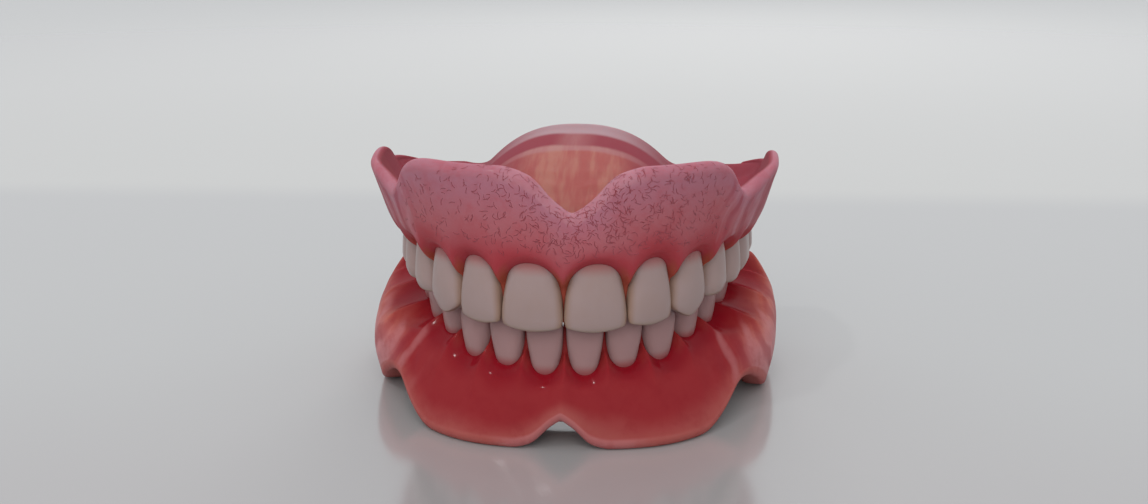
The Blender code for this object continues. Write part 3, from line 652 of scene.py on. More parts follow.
def base_object(name, sections):
    """Skin sections into one closed body, with each heel closed between its two sides."""
    mesh = bmesh.new()
    layers = [mesh.verts.layers.float.new(part) for part in ("rise", "tissue", "between", "side")]
    rows = [[add_points(mesh, smooth_line(side, SIDE_POINTS), layers) for side in section]
            for section in sections]
    for near, far in zip(rows, rows[1:]):
        for near_side, far_side in zip(near, far):
            skin(mesh, near_side, far_side)
    for tissue, polished in (rows[0], rows[-1]):
        skin(mesh, tissue, polished)
    bmesh.ops.remove_doubles(mesh, verts=mesh.verts, dist=MERGE_WITHIN * MM)
    bmesh.ops.recalc_face_normals(mesh, faces=mesh.faces)
    return finished_object(name, mesh, 1)


def finished_object(name, mesh, levels):
    """An object with the mesh, smoothed, rounded by a Subdivision Surface."""
    data = bpy.data.meshes.new(name)
    mesh.to_mesh(data)
    mesh.free()
    data.shade_smooth()
    made = bpy.data.objects.new(name, data)
    bpy.context.scene.collection.objects.link(made)
    if levels:
        rounding = made.modifiers.new("rounding", "SUBSURF")
        rounding.levels = rounding.render_levels = levels
    return made


def crown_ring(kind, height):
    """A crown's ring at a height share, run smoothly through its table."""
    rings = CROWN_RINGS[kind]
    return Ring(height, *(smooth_height([(ring[0], ring[part]) for ring in rings], height)
                          for part in (1, 2, 3)))


def ring_points(row, index, side, ring, scale=1.0):
    """One ring of a tooth as (across, towards, station, inset), both shares from -1 to 1."""
    near, far = row.contacts[index], row.contacts[index + 1]
    face = row.setback + ring.face
    back = row.setback + row.teeth[index].depth * ring.back
    half = ((far - near) / 2 - row.contact_gap / 2) * ring.width
    points = []
    for step in range(TOOTH_SIDES):
        angle = math.tau * step / TOOTH_SIDES
        across, towards = (math.copysign(abs(share) ** (2.0 / TOOTH_SQUARENESS), share)
                           for share in (math.cos(angle), math.sin(angle)))
        station = (near + far) / 2 + across * half * scale
        inset = (face + back) / 2 + towards * (back - face) / 2 * scale
        points.append((across, towards, side * station, inset))
    return points


def face_relief(kind, across, towards, height, depth):
    """Shallow lobes and grooves on a crown's outer face."""
    if towards > 0.0:
        return 0.0
    there = -towards * math.sin(math.pi * max(0.0, min(1.0, height * 0.9 + 0.1)))
    if kind == "incisor":
        return depth * there * (bell((abs(across) - 0.34) / 0.13) - 0.6 * bell(across / 0.2))
    if kind == "molar":
        return 2.2 * depth * there * bell(across / 0.14)
    return -1.4 * depth * there * bell(across / 0.22)


def wall_ring(row, index, side, height, depth):
    """A ring round a tooth's wall, bent to the edge's own line near the edge."""
    tooth = row.teeth[index]
    rounding = EDGE_ROUNDING.get(tooth.kind, 0.0) * max(height, 0.0) ** 4
    points = []
    ring = crown_ring(tooth.kind, height)
    for across, towards, station, inset in ring_points(row, index, side, ring):
        share = height - rounding * abs(across) ** 1.5
        inset += face_relief(tooth.kind, across, towards, height, depth)
        spot = place(station, inset, row.neck_z(tooth) + row.up * tooth.height * share)
        points.append((*spot, height, abs(across)))
    return points


def edge_rings(row, index, side):
    """The rounded biting edge of a front tooth, closed over its thickness."""
    tooth = row.teeth[index]
    ring = crown_ring(tooth.kind, 1.0)
    rings = []
    for scale, lift in ((0.93, 0.1), (0.78, 0.2), (0.5, 0.26), (0.2, EDGE_LIFT)):
        points = []
        for across, _, station, inset in ring_points(row, index, side, ring, scale):
            share = 1.0 - EDGE_ROUNDING[tooth.kind] * abs(across * scale) ** 1.5
            height = row.neck_z(tooth) + row.up * (tooth.height * share - EDGE_LIFT + lift)
            points.append((*place(station, inset, height), 1.0, abs(across * scale)))
        rings.append(points)
    return rings


def table_rings(row, index, side):
    """Rings of a back tooth's chewing surface, from the rounded rim inwards."""
    tooth = row.teeth[index]
    wall_z = row.neck_z(tooth) + row.up * tooth.height * WALL_RING.height
    rings = []
    for share, scale in ((0.4, 1.0), (0.75, 1.0), *((1.0, scale) for scale in TABLE_SCALES)):
        ring = Ring(*(blend(wall, table, share ** 2) for wall, table in zip(WALL_RING, TABLE_RING)))
        points = []
        for _, _, station, inset in ring_points(row, index, side, ring, scale):
            top = bite(station, inset) - row.up * BITE_GAP / 2
            spot = place(station, inset, blend(wall_z, top, share))
            points.append((*spot, blend(WALL_RING.height, 1.0, share), 0.0))
        rings.append(points)
    return rings


def tooth_object(row, index, side, name, sizes):
    """One whole tooth, with its shares of height and width kept on each vertex for the shading."""
    front = row.teeth[index].kind in EDGE_ROUNDING
    rings = [wall_ring(row, index, side, height, sizes.lobe_depth / MM)
             for height in (FRONT_HEIGHTS if front else BACK_HEIGHTS)]
    rings += (edge_rings if front else table_rings)(row, index, side)
    mesh = bmesh.new()
    layers = [mesh.verts.layers.float.new(part) for part in ("crown", "flank")]
    rows = [add_points(mesh, ring, layers) for ring in rings]
    for near, far in zip(rows, rows[1:]):
        skin(mesh, near + near[:1], far + far[:1])
    for ring in (rows[0], rows[-1]):
        centre = mesh.verts.new(sum((vertex.co for vertex in ring), Vector()) / len(ring))
        centre[layers[0]] = ring[0][layers[0]]
        for first, second in zip(ring, ring[1:] + ring[:1]):
            mesh.faces.new((first, second, centre))
    bmesh.ops.recalc_face_normals(mesh, faces=mesh.faces)
    return finished_object(name, mesh, 1)


class Nodes:
    """Adds nodes to a tree and links them, so that each tree reads as a list."""

    def __init__(self, tree):
        self.tree = tree

    def put(self, socket, value):
        if isinstance(value, bpy.types.NodeSocket):
            self.tree.links.new(value, socket)
        else:
            socket.default_value = value

    def add(self, kind, *first, **others):
        """A node with its first inputs in order, the others by name, and settings in lower case."""
        node = self.tree.nodes.new(kind)
        settings = [key for key in others if key.islower()]
        for key in settings:
            setattr(node, key, others.pop(key))
        for socket, value in zip(node.inputs, first):
            self.put(socket, value)
        for key, value in others.items():
            self.put(node.inputs[key.replace("_", " ")], value)
        return node

    def math(self, how, *values):
        return self.add("ShaderNodeMath", *values, operation=how).outputs[0]


class Shader(Nodes):
    """The nodes of one material."""

    def __init__(self, name):
        self.material = bpy.data.materials.new(name)
        self.material.use_nodes = True
        super().__init__(self.material.node_tree)
        self.surface = self.tree.nodes["Principled BSDF"]

    def set(self, **inputs):
        for key, value in inputs.items():
            self.put(self.surface.inputs[key.replace("_", " ")], value)

    def mix(self, share, first, second):
        node = self.add("ShaderNodeMix", data_type="RGBA", Factor=share, A=first, B=second)
        return node.outputs["Result"]

    def span(self, value, low, high, start=0.0, end=1.0):
        return self.add("ShaderNodeMapRange", value, low, high, start, end,
                        interpolation_type="SMOOTHSTEP").outputs[0]

    def over(self, colour, tone, value, *span):
        """A tone laid over a colour where a value runs through a span."""
        return self.mix(self.span(value, *span), colour, tone)

    def place(self):
        return self.add("ShaderNodeTexCoord").outputs["Object"]

    def axes(self):
        return self.add("ShaderNodeSeparateXYZ", Vector=self.place()).outputs

    def noise(self, scale, detail=3.0, roughness=0.5, where=None):
        return self.add("ShaderNodeTexNoise", Vector=where or self.place(), Scale=scale,
                        Detail=detail, Roughness=roughness).outputs["Fac"]

    def attribute(self, name):
        return self.add("ShaderNodeAttribute", attribute_name=name).outputs["Fac"]

    def bump(self, height, strength, distance):
        node = self.add("ShaderNodeBump", Height=height, Strength=strength, Distance=distance)
        self.set(Normal=node.outputs[0])


def rgba(colour):
    return (*colour, 1.0)


# An acrylic's tones, where they lie from gum (0) to border (1), and the stripes of painted shade and
# highlight along its folds
Look = namedtuple("Look", "base tones gum_to border_from wing_rise turn pitch start depth thin light")
UPPER_LOOK = Look("upper", "gum face border rim papilla wing wing groove line", 0.5, 0.42, 0.1,
                  math.radians(-20.6), 0.0023, 0.32, 0.6, 0.35, 0.55)
LOWER_LOOK = Look("lower", "gum face border rim papilla wing wing_top groove line", 0.36, 0.58, -0.03,
                  math.radians(32.0), 0.0032, 0.38, 0.45, 0.0, 0.5)
COAT_ROUGHNESS = 0.13


def acrylic_shader(look, colours):
    """Translucent pink acrylic: deep at the gum line, warm between the teeth, pale at the border, with
    painted shade and highlight along its folds and rim.
    """
    gum, face, border, rim, between_teeth, wing, wing_top, groove, line = (
        rgba(getattr(colours, f"{look.base}_{part}")) for part in look.tones.split())
    made = Shader(f"pink acrylic, {look.base}")
    rise, side, axes = made.attribute("rise"), made.attribute("side"), made.axes()
    middle = made.math("ABSOLUTE", made.math("SUBTRACT", axes["X"], 0.001))
    level = made.math("ADD", rise, made.math("MULTIPLY_ADD", made.noise(75.0, 3.0, 0.55), 0.5, -0.25))
    level = made.math("ADD", level, made.span(middle, 0.004, 0.014, 0.05, -0.04))
    colour = made.over(gum, face, level, 0.05, look.gum_to)
    colour = made.over(colour, border, level, look.border_from, 1.0)
    there = made.math("MULTIPLY", made.span(side, 0.5, 0.63),
                      made.span(level, look.wing_rise, look.wing_rise + 0.35))
    colour = made.mix(there, colour, made.over(wing, wing_top, axes["Z"], 0.007, 0.013))

    # Painted shade in the folds' grooves and painted highlight on their crests, as dark and light stripes
    stripe = made.math("MULTIPLY", made.math("ABSOLUTE", axes["X"]), math.cos(look.turn))
    stripe = made.math("MULTIPLY_ADD", axes["Z"], math.sin(look.turn), stripe)
    stripe = made.math("MULTIPLY_ADD", made.noise(110.0, 2.0), 0.0045, stripe)
    stripe = made.math("SINE", made.math("MULTIPLY", stripe, math.tau / look.pitch))
    stripe = made.math("MULTIPLY", stripe, made.span(side, look.start, look.start + 0.16))
    stripe = made.math("MULTIPLY", stripe, made.span(rise, 0.02, 0.25))
    colour = made.over(colour, groove, stripe, -1.0, -0.1, look.depth, 0.0)
    colour = made.over(colour, line, stripe, look.thin, 1.0, 0.0, look.light)

    # Between the teeth, along the rim, where the pale tone is partly thin acrylic and partly painted
    # highlight, and a fine mottle over all
    gap = made.math("MULTIPLY", made.span(made.attribute("between"), 0.55, 0.9),
                    made.span(rise, 0.0, 0.14, 1.0, 0.0))
    gap = made.math("MULTIPLY", gap, made.span(side, 0.45, 0.65, 1.0, 0.2))
    colour = made.mix(gap, colour, between_teeth)
    # Painted highlight along the rounded border rim, lightened further towards the fold-crest tone by the
    # lip notch
    rim = made.over(rim, line, middle, 0.007, 0.012, 0.7, 0.0)
    colour = made.over(colour, rim, rise, 0.93, 1.0, 0.0, 0.75)
    return made, made.over(colour, gum, made.noise(420.0, 4.0, 0.65), 0.42, 0.75, 0.0, 0.3)


def finish_acrylic(made, colour, inside, colours):
    """The fitting side's own colour, duller than the rest, and the soft scattering of acrylic."""
    tissue, coat = made.attribute("tissue"), colours.acrylic_coat
    made.set(
        Base_Color=made.mix(tissue, colour, inside), Roughness=colours.acrylic_roughness,
        Coat_Weight=made.math("MULTIPLY_ADD", tissue, -0.7 * coat, coat),
        Coat_Roughness=COAT_ROUGHNESS, Specular_IOR_Level=0.0,
        Subsurface_Weight=0.3, Subsurface_Radius=(1.0, 0.4, 0.35), Subsurface_Scale=0.002)
    made.bump(made.noise(650.0, 3.0, 0.6), 0.12, 0.0001)
    return made.material


def upper_acrylic(colours):
    """Upper acrylic, whose palate turns from orange to lilac bands of painted highlight towards its back
    edge.
    """
    made, colour = acrylic_shader(UPPER_LOOK, colours)
    axes = made.axes()
    across = made.math("ABSOLUTE", axes["X"])
    back = made.math("SUBTRACT", (PALATE_BACK_Y + FRAME_Y) * MM, axes["Y"])
    back = made.math("ADD", back, made.math("MULTIPLY_ADD", made.noise(60.0, 2.0), 0.005, -0.0025))
    lengthwise = made.add("ShaderNodeMapping", Vector=made.place(), Scale=(1.0, 0.12, 0.3))
    streak = made.noise(420.0, 3.0, 0.6, lengthwise.outputs["Vector"])
    inside = made.over(rgba(colours.palate), rgba(colours.palate_light), streak, 0.38, 0.62)
    # Painted shade on the fitting side beyond the dome, on the inner faces of the cheek wings
    sideways = made.math("MULTIPLY_ADD", made.noise(130.0, 3.0), 0.005, across)
    inside = made.over(inside, rgba(colours.palate_band_and_shade), sideways, 0.007, 0.015, 0.0, 0.9)
    outer = made.span(across, 0.0, 0.004, 0.45, 1.0)
    central = made.span(across, 0.003, 0.018, 1.0, 0.0)
    # Bands across the back of the dome: the pale lilac ones are painted highlight, with rose bands between
    for far, near, tone, share, where in (
        (0.0194, 0.018, colours.palate_rim_highlight, 0.35, central),
        (0.017, 0.0155, colours.palate_band_and_shade, 0.95, outer),
        (0.0105, 0.0085, colours.palate_rim_highlight, 1.0, central),
        (0.0042, 0.003, colours.palate_band_and_shade, 0.5, central),
    ):
        there = made.math("MULTIPLY", made.span(back, near, far, share, 0.0), where)
        inside = made.mix(there, inside, rgba(tone))
    return finish_acrylic(made, colour, inside, colours)


def lower_acrylic(colours):
    """Lower acrylic: deep red, with a coral border and pale outer bands on the cheek wings."""
    made, colour = acrylic_shader(LOWER_LOOK, colours)
    return finish_acrylic(made, colour, rgba(colours.lower_tissue), colours)


def tooth_material(name, body, neck, flank, edge, colours):
    """Layered tooth resin: gum-tinted at the neck, yellower at its sides, clearer at the edge."""
    made = Shader(name)
    height = made.attribute("crown")
    colour = made.over(rgba(body), rgba(flank), made.attribute("flank"), 0.72, 1.0, 0.0, 0.75)
    colour = made.over(colour, rgba(neck), height, -0.02, 0.2, 0.9, 0.0)
    colour = made.over(colour, rgba(edge), height, 0.9, 1.0, 0.0, 0.6)
    colour = made.over(colour, rgba(flank), made.noise(180.0, 3.0), 0.4, 0.75, 0.0, 0.12)
    made.set(Base_Color=colour, Roughness=colours.tooth_roughness, Coat_Weight=colours.tooth_coat,
             Coat_Roughness=COAT_ROUGHNESS, Specular_IOR_Level=0.1, Subsurface_Weight=0.3,
             Subsurface_Radius=(1.0, 0.75, 0.6), Subsurface_Scale=0.0014)
    made.bump(made.noise(700.0, 2.0), 0.08, 0.00006)
    return made.material


def fibre_tree(finish):
    """Geometry Nodes: short bent fibres lying along a base's face, thickest where `fibres` is 1."""
    tree = bpy.data.node_groups.new("fibres_along_face", "GeometryNodeTree")
    tree.interface.new_socket("Geometry", in_out="INPUT", socket_type="NodeSocketGeometry")
    for name, kind in (("Fibres per square metre", "NodeSocketFloat"), ("Length", "NodeSocketFloat"),
                       ("Thickness", "NodeSocketFloat"), ("Seed", "NodeSocketInt")):
        tree.interface.new_socket(name, in_out="INPUT", socket_type=kind)
    tree.interface.new_socket("Geometry", in_out="OUTPUT", socket_type="NodeSocketGeometry")
    made = Nodes(tree)
    given = made.add("NodeGroupInput").outputs
    where = made.add("GeometryNodeInputNamedAttribute", data_type="FLOAT", Name="fibres")
    density = made.math("MULTIPLY", where.outputs["Attribute"], given["Fibres per square metre"])
    scatter = made.add("GeometryNodeDistributePointsOnFaces", Mesh=given["Geometry"],
                       Density=density, Seed=given["Seed"])
    arc = made.add("GeometryNodeCurveArc", Resolution=6, Radius=given["Length"],
                   Sweep_Angle=math.radians(70.0))
    turn = made.add("FunctionNodeRandomValue", Max=math.tau, Seed=11)
    grow = made.add("FunctionNodeRandomValue", (0.35, 0.35, 1.0), (1.1, 1.1, 1.0),
                    data_type="FLOAT_VECTOR", Seed=12)
    around = made.add("FunctionNodeAxisAngleToRotation", Axis=(0.0, 0.0, 1.0), Angle=turn.outputs[1])
    spin = made.add("FunctionNodeRotateRotation", rotation_space="LOCAL",
                    Rotation=scatter.outputs["Rotation"], Rotate_By=around.outputs[0])
    lay = made.add("GeometryNodeInstanceOnPoints", Points=scatter.outputs["Points"],
                   Instance=arc.outputs[0], Rotation=spin.outputs[0], Scale=grow.outputs[0])
    real = made.add("GeometryNodeRealizeInstances", lay.outputs[0])
    nearest = made.add("GeometryNodeProximity", given["Geometry"], target_element="FACES")
    press = made.add("GeometryNodeSetPosition", Geometry=real.outputs[0],
                     Position=nearest.outputs["Position"])
    radius = made.math("MULTIPLY", given["Thickness"], 0.5)
    profile = made.add("GeometryNodeCurvePrimitiveCircle", Resolution=4, Radius=radius)
    tube = made.add("GeometryNodeCurveToMesh", Curve=press.outputs[0],
                    Profile_Curve=profile.outputs[0], Fill_Caps=True)
    paint = made.add("GeometryNodeSetMaterial", Geometry=tube.outputs[0], Material=finish)
    made.add("NodeGroupOutput", paint.outputs[0])
    return tree


def set_inputs(modifier, values):
    """Geometry Nodes inputs are set by their sockets' identifiers."""
    for item in modifier.node_group.interface.items_tree:
        if item.item_type == "SOCKET" and item.in_out == "INPUT" and item.name in values:
            modifier[item.identifier] = values[item.name]


def evaluated_copy(name, source):
    """A plain mesh object of what an object shows with its modifiers."""
    bpy.context.view_layer.update()
    data = bpy.data.meshes.new_from_object(source.evaluated_get(bpy.context.evaluated_depsgraph_get()))
    data.name = name
    made = bpy.data.objects.new(name, data)
    bpy.context.scene.collection.objects.link(made)
    return made


def fibre_places(data):
    """Fibre density per vertex: on the outer face of the lip flange, most by the notch."""
    density = data.attributes.new("fibres", "FLOAT", "POINT")
    inner, rise = data.attributes["tissue"].data, data.attributes["rise"].data
    for index, vertex in enumerate(data.vertices):
        x, y, z = vertex.co / MM
        outward = -vertex.normal.y * ease((FIBRES_TO_Y - (y - FRAME_Y)) / 8.0)
        near = 0.2 + 0.8 * bell((x - FIBRES_X) / FIBRES_REACH)
        value = ease(outward * 1.6) * near * ease(rise[index].value * 3.0 - 0.3)
        value *= 1.0 - ease(inner[index].value * 4.0)
        density.data[index].value = value * ease((z - FIBRES_FROM_Z) / 3.0)


def number(name, description, default, most=1.0, least=0.0, **more):
    return bpy.props.FloatProperty(
        name=name, description=description, default=default, min=least, max=most, **more)


def length(name, description, default, most, least=0.0):
    return number(name, description, default, most, least, precision=6, unit="LENGTH")


def tone(name, description, default):
    return bpy.props.FloatVectorProperty(
        name=name, description=description, default=default, size=3, min=0.0, max=1.0, subtype="COLOR")


class DentureSizes(bpy.types.PropertyGroup):
    """Sizes of the fine forms of gums, palate and teeth."""

    papilla_sharpness: number("Papilla sharpness", "How sharply the gum rises between teeth", 2.6, 6.0, 1.0)
    root_bulge: length("Root bulge", "How far the gum stands out over each root", 0.00006, 0.001)
    septum: number("Septum", "Share of two crowns' height that acrylic fills between them", 0.56, 0.7)
    papilla_sink: length("Papilla sink", "How far the gum lies back between two teeth", 0.0004, 0.001)
    margin_sink: length("Margin sink", "How far the gum thins towards the teeth", 0.00025, 0.0006)
    fold_depth: length("Fold depth", "Depth of the grooves beside the cheek notches", 0.0001, 0.001)
    rugae_height: length("Palate ridges", "Height of the palate's front ridges", 0.00022, 0.0006)
    lobe_depth: length("Lobe depth", "Depth of the shallow grooves on the teeth", 0.00005, 0.0004)
    fibre_length: length("Fibre length", "Bend radius of a fibre, near its length", 0.0009, 0.006, 0.0003)
    fibre_thickness: length("Fibre thickness", "Thickness of a fibre", 0.00008, 0.0004, 0.00003)
    fibre_count: number("Fibres per square metre", "The fibres' greatest density", 2.6e6, 9.0e6)
    fibre_seed: bpy.props.IntProperty(
        name="Fibre seed", description="Seed of the fibres' random places", default=3)


class DentureColours(bpy.types.PropertyGroup):
    """Colours and gloss of acrylic, teeth and fibres."""

    upper_gum: tone("Upper gum", "Deep red by the upper gum line", (0.338, 0.041, 0.052))
    upper_face: tone("Upper flange", "Rose of the upper flange", (0.365, 0.109, 0.127))
    upper_border: tone("Upper border", "Mauve towards the upper border", (0.36, 0.142, 0.186))
    # Partly the thin acrylic's paler tone, partly painted highlight on the upper border's rounded edge
    upper_rim: tone("Upper rim", "Pale edge of the upper border", (0.35, 0.13, 0.165))
    upper_papilla: tone("Upper papilla", "Orange brown between the upper teeth", (0.3, 0.06, 0.036))
    upper_wing: tone("Upper wing", "Lilac of the upper cheek wings", (0.32, 0.085, 0.11))
    # Painted highlight on the crests of the upper folds
    upper_line: tone("Upper fold", "Light crests of the upper folds", (0.43, 0.2, 0.235))
    # Painted shade in the grooves of the upper folds
    upper_groove: tone("Upper groove", "Deep rose in the upper grooves", (0.27, 0.04, 0.058))
    palate: tone("Palate", "Orange of the palate's fitting side", (0.31, 0.087, 0.08))
    palate_light: tone("Palate streak", "Yellower streaks of the palate", (0.345, 0.135, 0.11))
    # Also painted shade on the inner faces of the upper cheek wings
    palate_band_and_shade: tone("Palate band", "Rose bands near the palate's back", (0.215, 0.04, 0.054))
    # Painted highlight bands across the back of the palate
    palate_rim_highlight: tone("Palate rim", "Lilac bands near the palate's back", (0.34, 0.215, 0.232))
    lower_gum: tone("Lower gum", "Red of the lower gum line", (0.205, 0.006, 0.012))
    lower_face: tone("Lower flange", "Deep red of the lower flange", (0.245, 0.018, 0.022))
    lower_border: tone("Lower border", "Coral towards the lower border", (0.3, 0.064, 0.058))
    lower_rim: tone("Lower rim", "Coral edge of the lower border", (0.33, 0.085, 0.075))
    lower_papilla: tone("Lower papilla", "Red between the lower teeth", (0.23, 0.02, 0.02))
    lower_wing: tone("Lower wing", "Rose of the lower cheek wings", (0.46, 0.19, 0.195))
    lower_wing_top: tone("Lower wing top", "Orange red high on the lower wings", (0.395, 0.094, 0.064))
    # Painted highlight on the crests of the lower folds
    lower_line: tone("Lower fold", "Light crests of the lower folds", (0.42, 0.16, 0.165))
    # Painted shade in the grooves of the lower folds
    lower_groove: tone("Lower groove", "Dark red in the lower grooves", (0.21, 0.008, 0.018))
    lower_tissue: tone("Lower fitting side", "Coral of the lower fitting side", (0.3, 0.08, 0.07))
    upper_tooth: tone("Upper tooth", "Body shade of the upper teeth", (0.325, 0.24, 0.228))
    lower_tooth: tone("Lower tooth", "Body shade of the lower teeth", (0.31, 0.185, 0.182))
    upper_neck: tone("Upper neck", "Gum-tinted shade at the upper necks", (0.32, 0.1, 0.1))
    lower_neck: tone("Lower neck", "Gum-tinted shade at the lower necks", (0.28, 0.06, 0.062))
    tooth_flank: tone("Tooth flank", "Yellow brown where teeth meet", (0.26, 0.155, 0.1))
    tooth_edge: tone("Tooth edge", "Clearer shade at the biting edges", (0.28, 0.22, 0.17))
    fibre: tone("Fibre", "Dark red of the fibres", (0.135, 0.026, 0.043))
    acrylic_roughness: number("Acrylic roughness", "Roughness of the acrylic", 0.3)
    acrylic_coat: number("Acrylic coat", "Strength of the acrylic's wet coat", 0.2)
    tooth_roughness: number("Tooth roughness", "Roughness of the teeth", 0.3)
    tooth_coat: number("Tooth coat", "Strength of the teeth's wet coat", 0.1)


class DentureStudio(bpy.types.PropertyGroup):
    """Floor, lamps and camera."""

    table: tone("Table", "Pale table under the denture", (0.375, 0.375, 0.372))
    # Painted shade standing for the denture's shadow and reflection on the table in front
    table_front_shade: tone("Table front", "Table in front of the denture", (0.325, 0.308, 0.308))
    beyond: tone("Beyond the table", "Paler tone past the table's far edge", (0.44, 0.437, 0.42))
    table_edge: length("Table edge", "Where the table's tone ends behind the denture", 0.128, 4.0)
    floor_size: length("Floor size", "Side of the floor", 8.0, 20.0)
    sky: number("Sky", "Strength of the even light", 0.75, 2.0)
    lamp: number("Lamps", "Share of the lamps' power", 1.0, 4.0)
    lens: number("Lens", "Focal length on a 36 mm sensor", 39.17, 200.0)


def dress(piece, finish, slot, *nodes):
    """Give a piece its finish and its place in the frame."""
    piece.data.materials.clear()
    piece.data.materials.append(finish)
    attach(piece, "root")
    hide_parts(*nodes)


class DENTURE_OT_bases(bpy.types.Operator):
    """Add both bases, with palate, ridge troughs, lip flanges, cheek wings and heels"""

    bl_idname = "denture.bases"
    bl_label = "Bases"

    def execute(self, context):
        sizes, colours = context.scene.denture_sizes, context.scene.denture_colours
        for name, row, section, middle, acrylic in (
            ("upper", UPPER, upper_section, upper_middle, upper_acrylic),
            ("lower", LOWER, lower_section, lower_middle, lower_acrylic),
        ):
            base = base_object(f"{name}_base_fine", base_sections(row, section, middle, sizes))
            dress(base, acrylic(colours), f"pink_acrylic_{name}", f"{name}_base")
        return {"FINISHED"}


class DENTURE_OT_teeth(bpy.types.Operator):
    """Add the fourteen upper and fourteen lower teeth, named from the wearer's left and right"""

    bl_idname = "denture.teeth"
    bl_label = "Teeth"

    def execute(self, context):
        colours = context.scene.denture_colours
        upper = colours.upper_tooth, colours.upper_neck, colours.tooth_flank, colours.tooth_edge
        lower = colours.lower_tooth, colours.lower_neck, colours.lower_tooth, colours.lower_tooth
        for name, row, shades in (("upper", UPPER, upper), ("lower", LOWER, lower)):
            finish = tooth_material(f"tooth resin, {name}", *shades, colours)
            for side, side_name in ((1.0, "left"), (-1.0, "right")):
                for index, tooth in enumerate(row.teeth):
                    node = f"{name}_{side_name}_{tooth.name}"
                    crown = tooth_object(row, index, side, f"{node}_fine", context.scene.denture_sizes)
                    dress(crown, finish, f"tooth_resin_{name}", node)
        return {"FINISHED"}


class DENTURE_OT_fibres(bpy.types.Operator):
    """Scatter the short dark fibres in the upper lip flange"""

    bl_idname = "denture.fibres"
    bl_label = "Fibres"

    def execute(self, context):
        sizes, colours = context.scene.denture_sizes, context.scene.denture_colours
        made = Shader("dark red fibre")
        colour = made.mix(made.noise(2500.0, 2.0), rgba(colours.fibre), rgba(colours.upper_gum))
        made.set(Base_Color=colour, Roughness=0.35)
        carrier = evaluated_copy("fibre_carrier", bpy.data.objects["upper_base_fine"])
        fibre_places(carrier.data)
        grow = carrier.modifiers.new("fibres", "NODES")
        grow.node_group = fibre_tree(made.material)
        set_inputs(grow, {
            "Fibres per square metre": sizes.fibre_count, "Length": sizes.fibre_length,
            "Thickness": sizes.fibre_thickness, "Seed": sizes.fibre_seed})
        fibres = evaluated_copy("upper_fibres", carrier)
        bpy.data.objects.remove(carrier, do_unlink=True)
        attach(fibres, "root")
        return {"FINISHED"}


class DENTURE_OT_studio(bpy.types.Operator):
    """Add the table, the lamps and the camera"""

    bl_idname = "denture.studio"
    bl_label = "Studio"

    def execute(self, context):
        studio = context.scene.denture_studio
        add_floor(studio)
        add_lamps(studio)
        add_camera(context.scene, studio)
        context.scene.view_settings.view_transform = "Standard"
        return {"FINISHED"}


def add_floor(studio):
    """A pale, softly glossy table with painted shade in front of the denture, whose tone changes past its
    far edge.
    """
    half = studio.floor_size / 2
    corners = ((-half, -half, 0.0), (half, -half, 0.0), (half, half, 0.0), (-half, half, 0.0))
    mesh = bmesh.new()
    mesh.faces.new([mesh.verts.new(corner) for corner in corners])
    floor = finished_object("table_top", mesh, 0)
    made = Shader("pale table")
    behind = made.axes()["Y"]
    edge, beyond = studio.table_edge, rgba(studio.beyond)
    # Painted shade: the table darker in front of the denture
    colour = made.over(rgba(studio.table_front_shade), rgba(studio.table), behind, -0.08, 0.02)
    colour = made.over(colour, beyond, behind, edge - 0.012, edge + 0.012)
    colour = made.over(colour, beyond, made.noise(9.0, 2.0), 0.3, 0.7, 0.0, 0.05)
    made.set(Base_Color=colour, Roughness=0.14, IOR=2.6)
    floor.data.materials.append(made.material)


# Each lamp's name, place in metres, turn in degrees, size, power, and whether gloss mirrors it
LAMPS = (
    ("lamp_over", (0.0, 0.05, 1.2), (0.0, 0.0, 0.0), 1.6, 0.8, False),
    ("lamp_front", (-0.1, -1.35, 0.9), (56.0, 0.0, -4.0), 1.6, 13.9, False),
    ("lamp_behind", (0.06, 0.6, 0.4), (-56.0, 0.0, 6.0), 0.35, 1.8, False),
    ("lamp_glint", (-0.3, -0.35, 0.75), (25.0, -20.0, 0.0), 0.04, 0.8, True),
)
SKY_COLOUR = (0.95, 0.97, 1.0)
CAMERA_PLACE = (0.00939, -0.18086, 0.07219)
CAMERA_TURN = (math.radians(90.0 - 15.745), 0.0, math.radians(2.909))


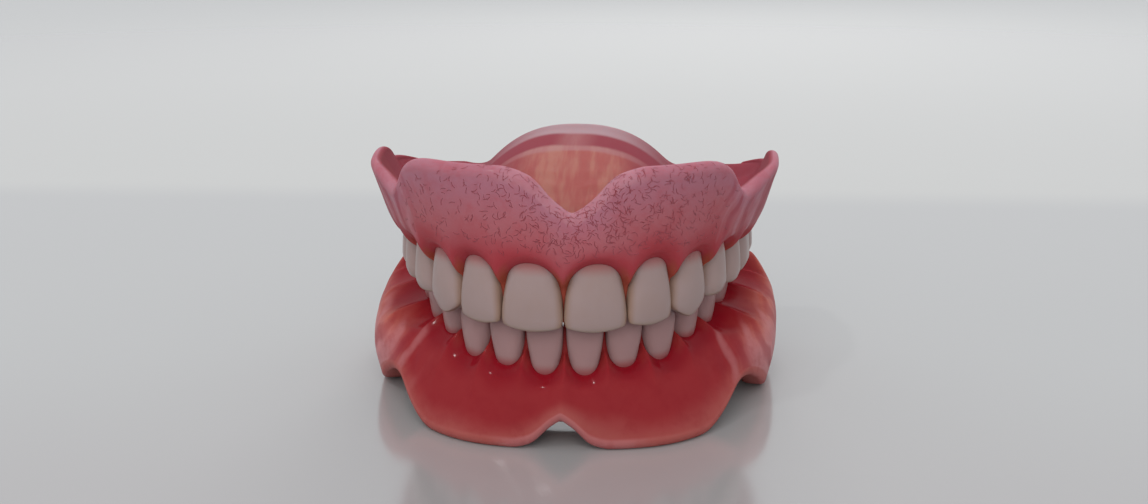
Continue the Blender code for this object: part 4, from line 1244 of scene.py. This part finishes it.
def add_lamps(studio):
    """Big soft lamps in front and above, a low one behind, a small one for glints, and an even sky."""
    for name, place_m, turn, size, power, mirrored in LAMPS:
        light = bpy.data.lights.new(name, "AREA")
        light.shape, light.size = "DISK", size
        light.energy = power * studio.lamp
        lamp = bpy.data.objects.new(name, light)
        lamp.location = place_m
        lamp.rotation_euler = [math.radians(angle) for angle in turn]
        lamp.visible_glossy = mirrored
        bpy.context.scene.collection.objects.link(lamp)
    world = bpy.data.worlds.new("even sky")
    world.use_nodes = True
    back = world.node_tree.nodes["Background"]
    back.inputs["Color"].default_value = rgba(SKY_COLOUR)
    back.inputs["Strength"].default_value = studio.sky
    bpy.context.scene.world = world


def add_camera(scene, studio):
    """The photograph's view: in front of the denture, a little above it."""
    data = bpy.data.cameras.new("front_camera")
    data.lens, data.sensor_width = studio.lens, 36.0
    data.clip_start = 0.01
    camera = bpy.data.objects.new("front_camera", data)
    camera.location, camera.rotation_euler = CAMERA_PLACE, CAMERA_TURN
    scene.collection.objects.link(camera)
    scene.camera = camera


class DENTURE_PT_panel(bpy.types.Panel):
    """Sizes, colours and steps of the denture"""

    bl_label = "Full denture"
    bl_idname = "DENTURE_PT_panel"
    bl_space_type = "VIEW_3D"
    bl_region_type = "UI"
    bl_category = "Denture"

    def draw(self, context):
        scene = context.scene
        for group in (scene.denture_sizes, scene.denture_colours, scene.denture_studio):
            box = self.layout.box()
            for name in group.__annotations__:
                box.prop(group, name)
        for step in STEPS:
            self.layout.operator(step.bl_idname)


STEPS = (DENTURE_OT_bases, DENTURE_OT_teeth, DENTURE_OT_fibres, DENTURE_OT_studio)
CLASSES = (DentureSizes, DentureColours, DentureStudio, *STEPS, DENTURE_PT_panel)


def register():
    for made in CLASSES:
        bpy.utils.register_class(made)
    bpy.types.Scene.denture_sizes = bpy.props.PointerProperty(type=DentureSizes)
    bpy.types.Scene.denture_colours = bpy.props.PointerProperty(type=DentureColours)
    bpy.types.Scene.denture_studio = bpy.props.PointerProperty(type=DentureStudio)


def unregister():
    del bpy.types.Scene.denture_studio, bpy.types.Scene.denture_colours, bpy.types.Scene.denture_sizes
    for made in reversed(CLASSES):
        bpy.utils.unregister_class(made)


def main():
    register()
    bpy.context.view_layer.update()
    bpy.ops.denture.bases()
    bpy.ops.denture.teeth()
    bpy.ops.denture.fibres()
    bpy.ops.denture.studio()


if __name__ == "__main__":
    main()
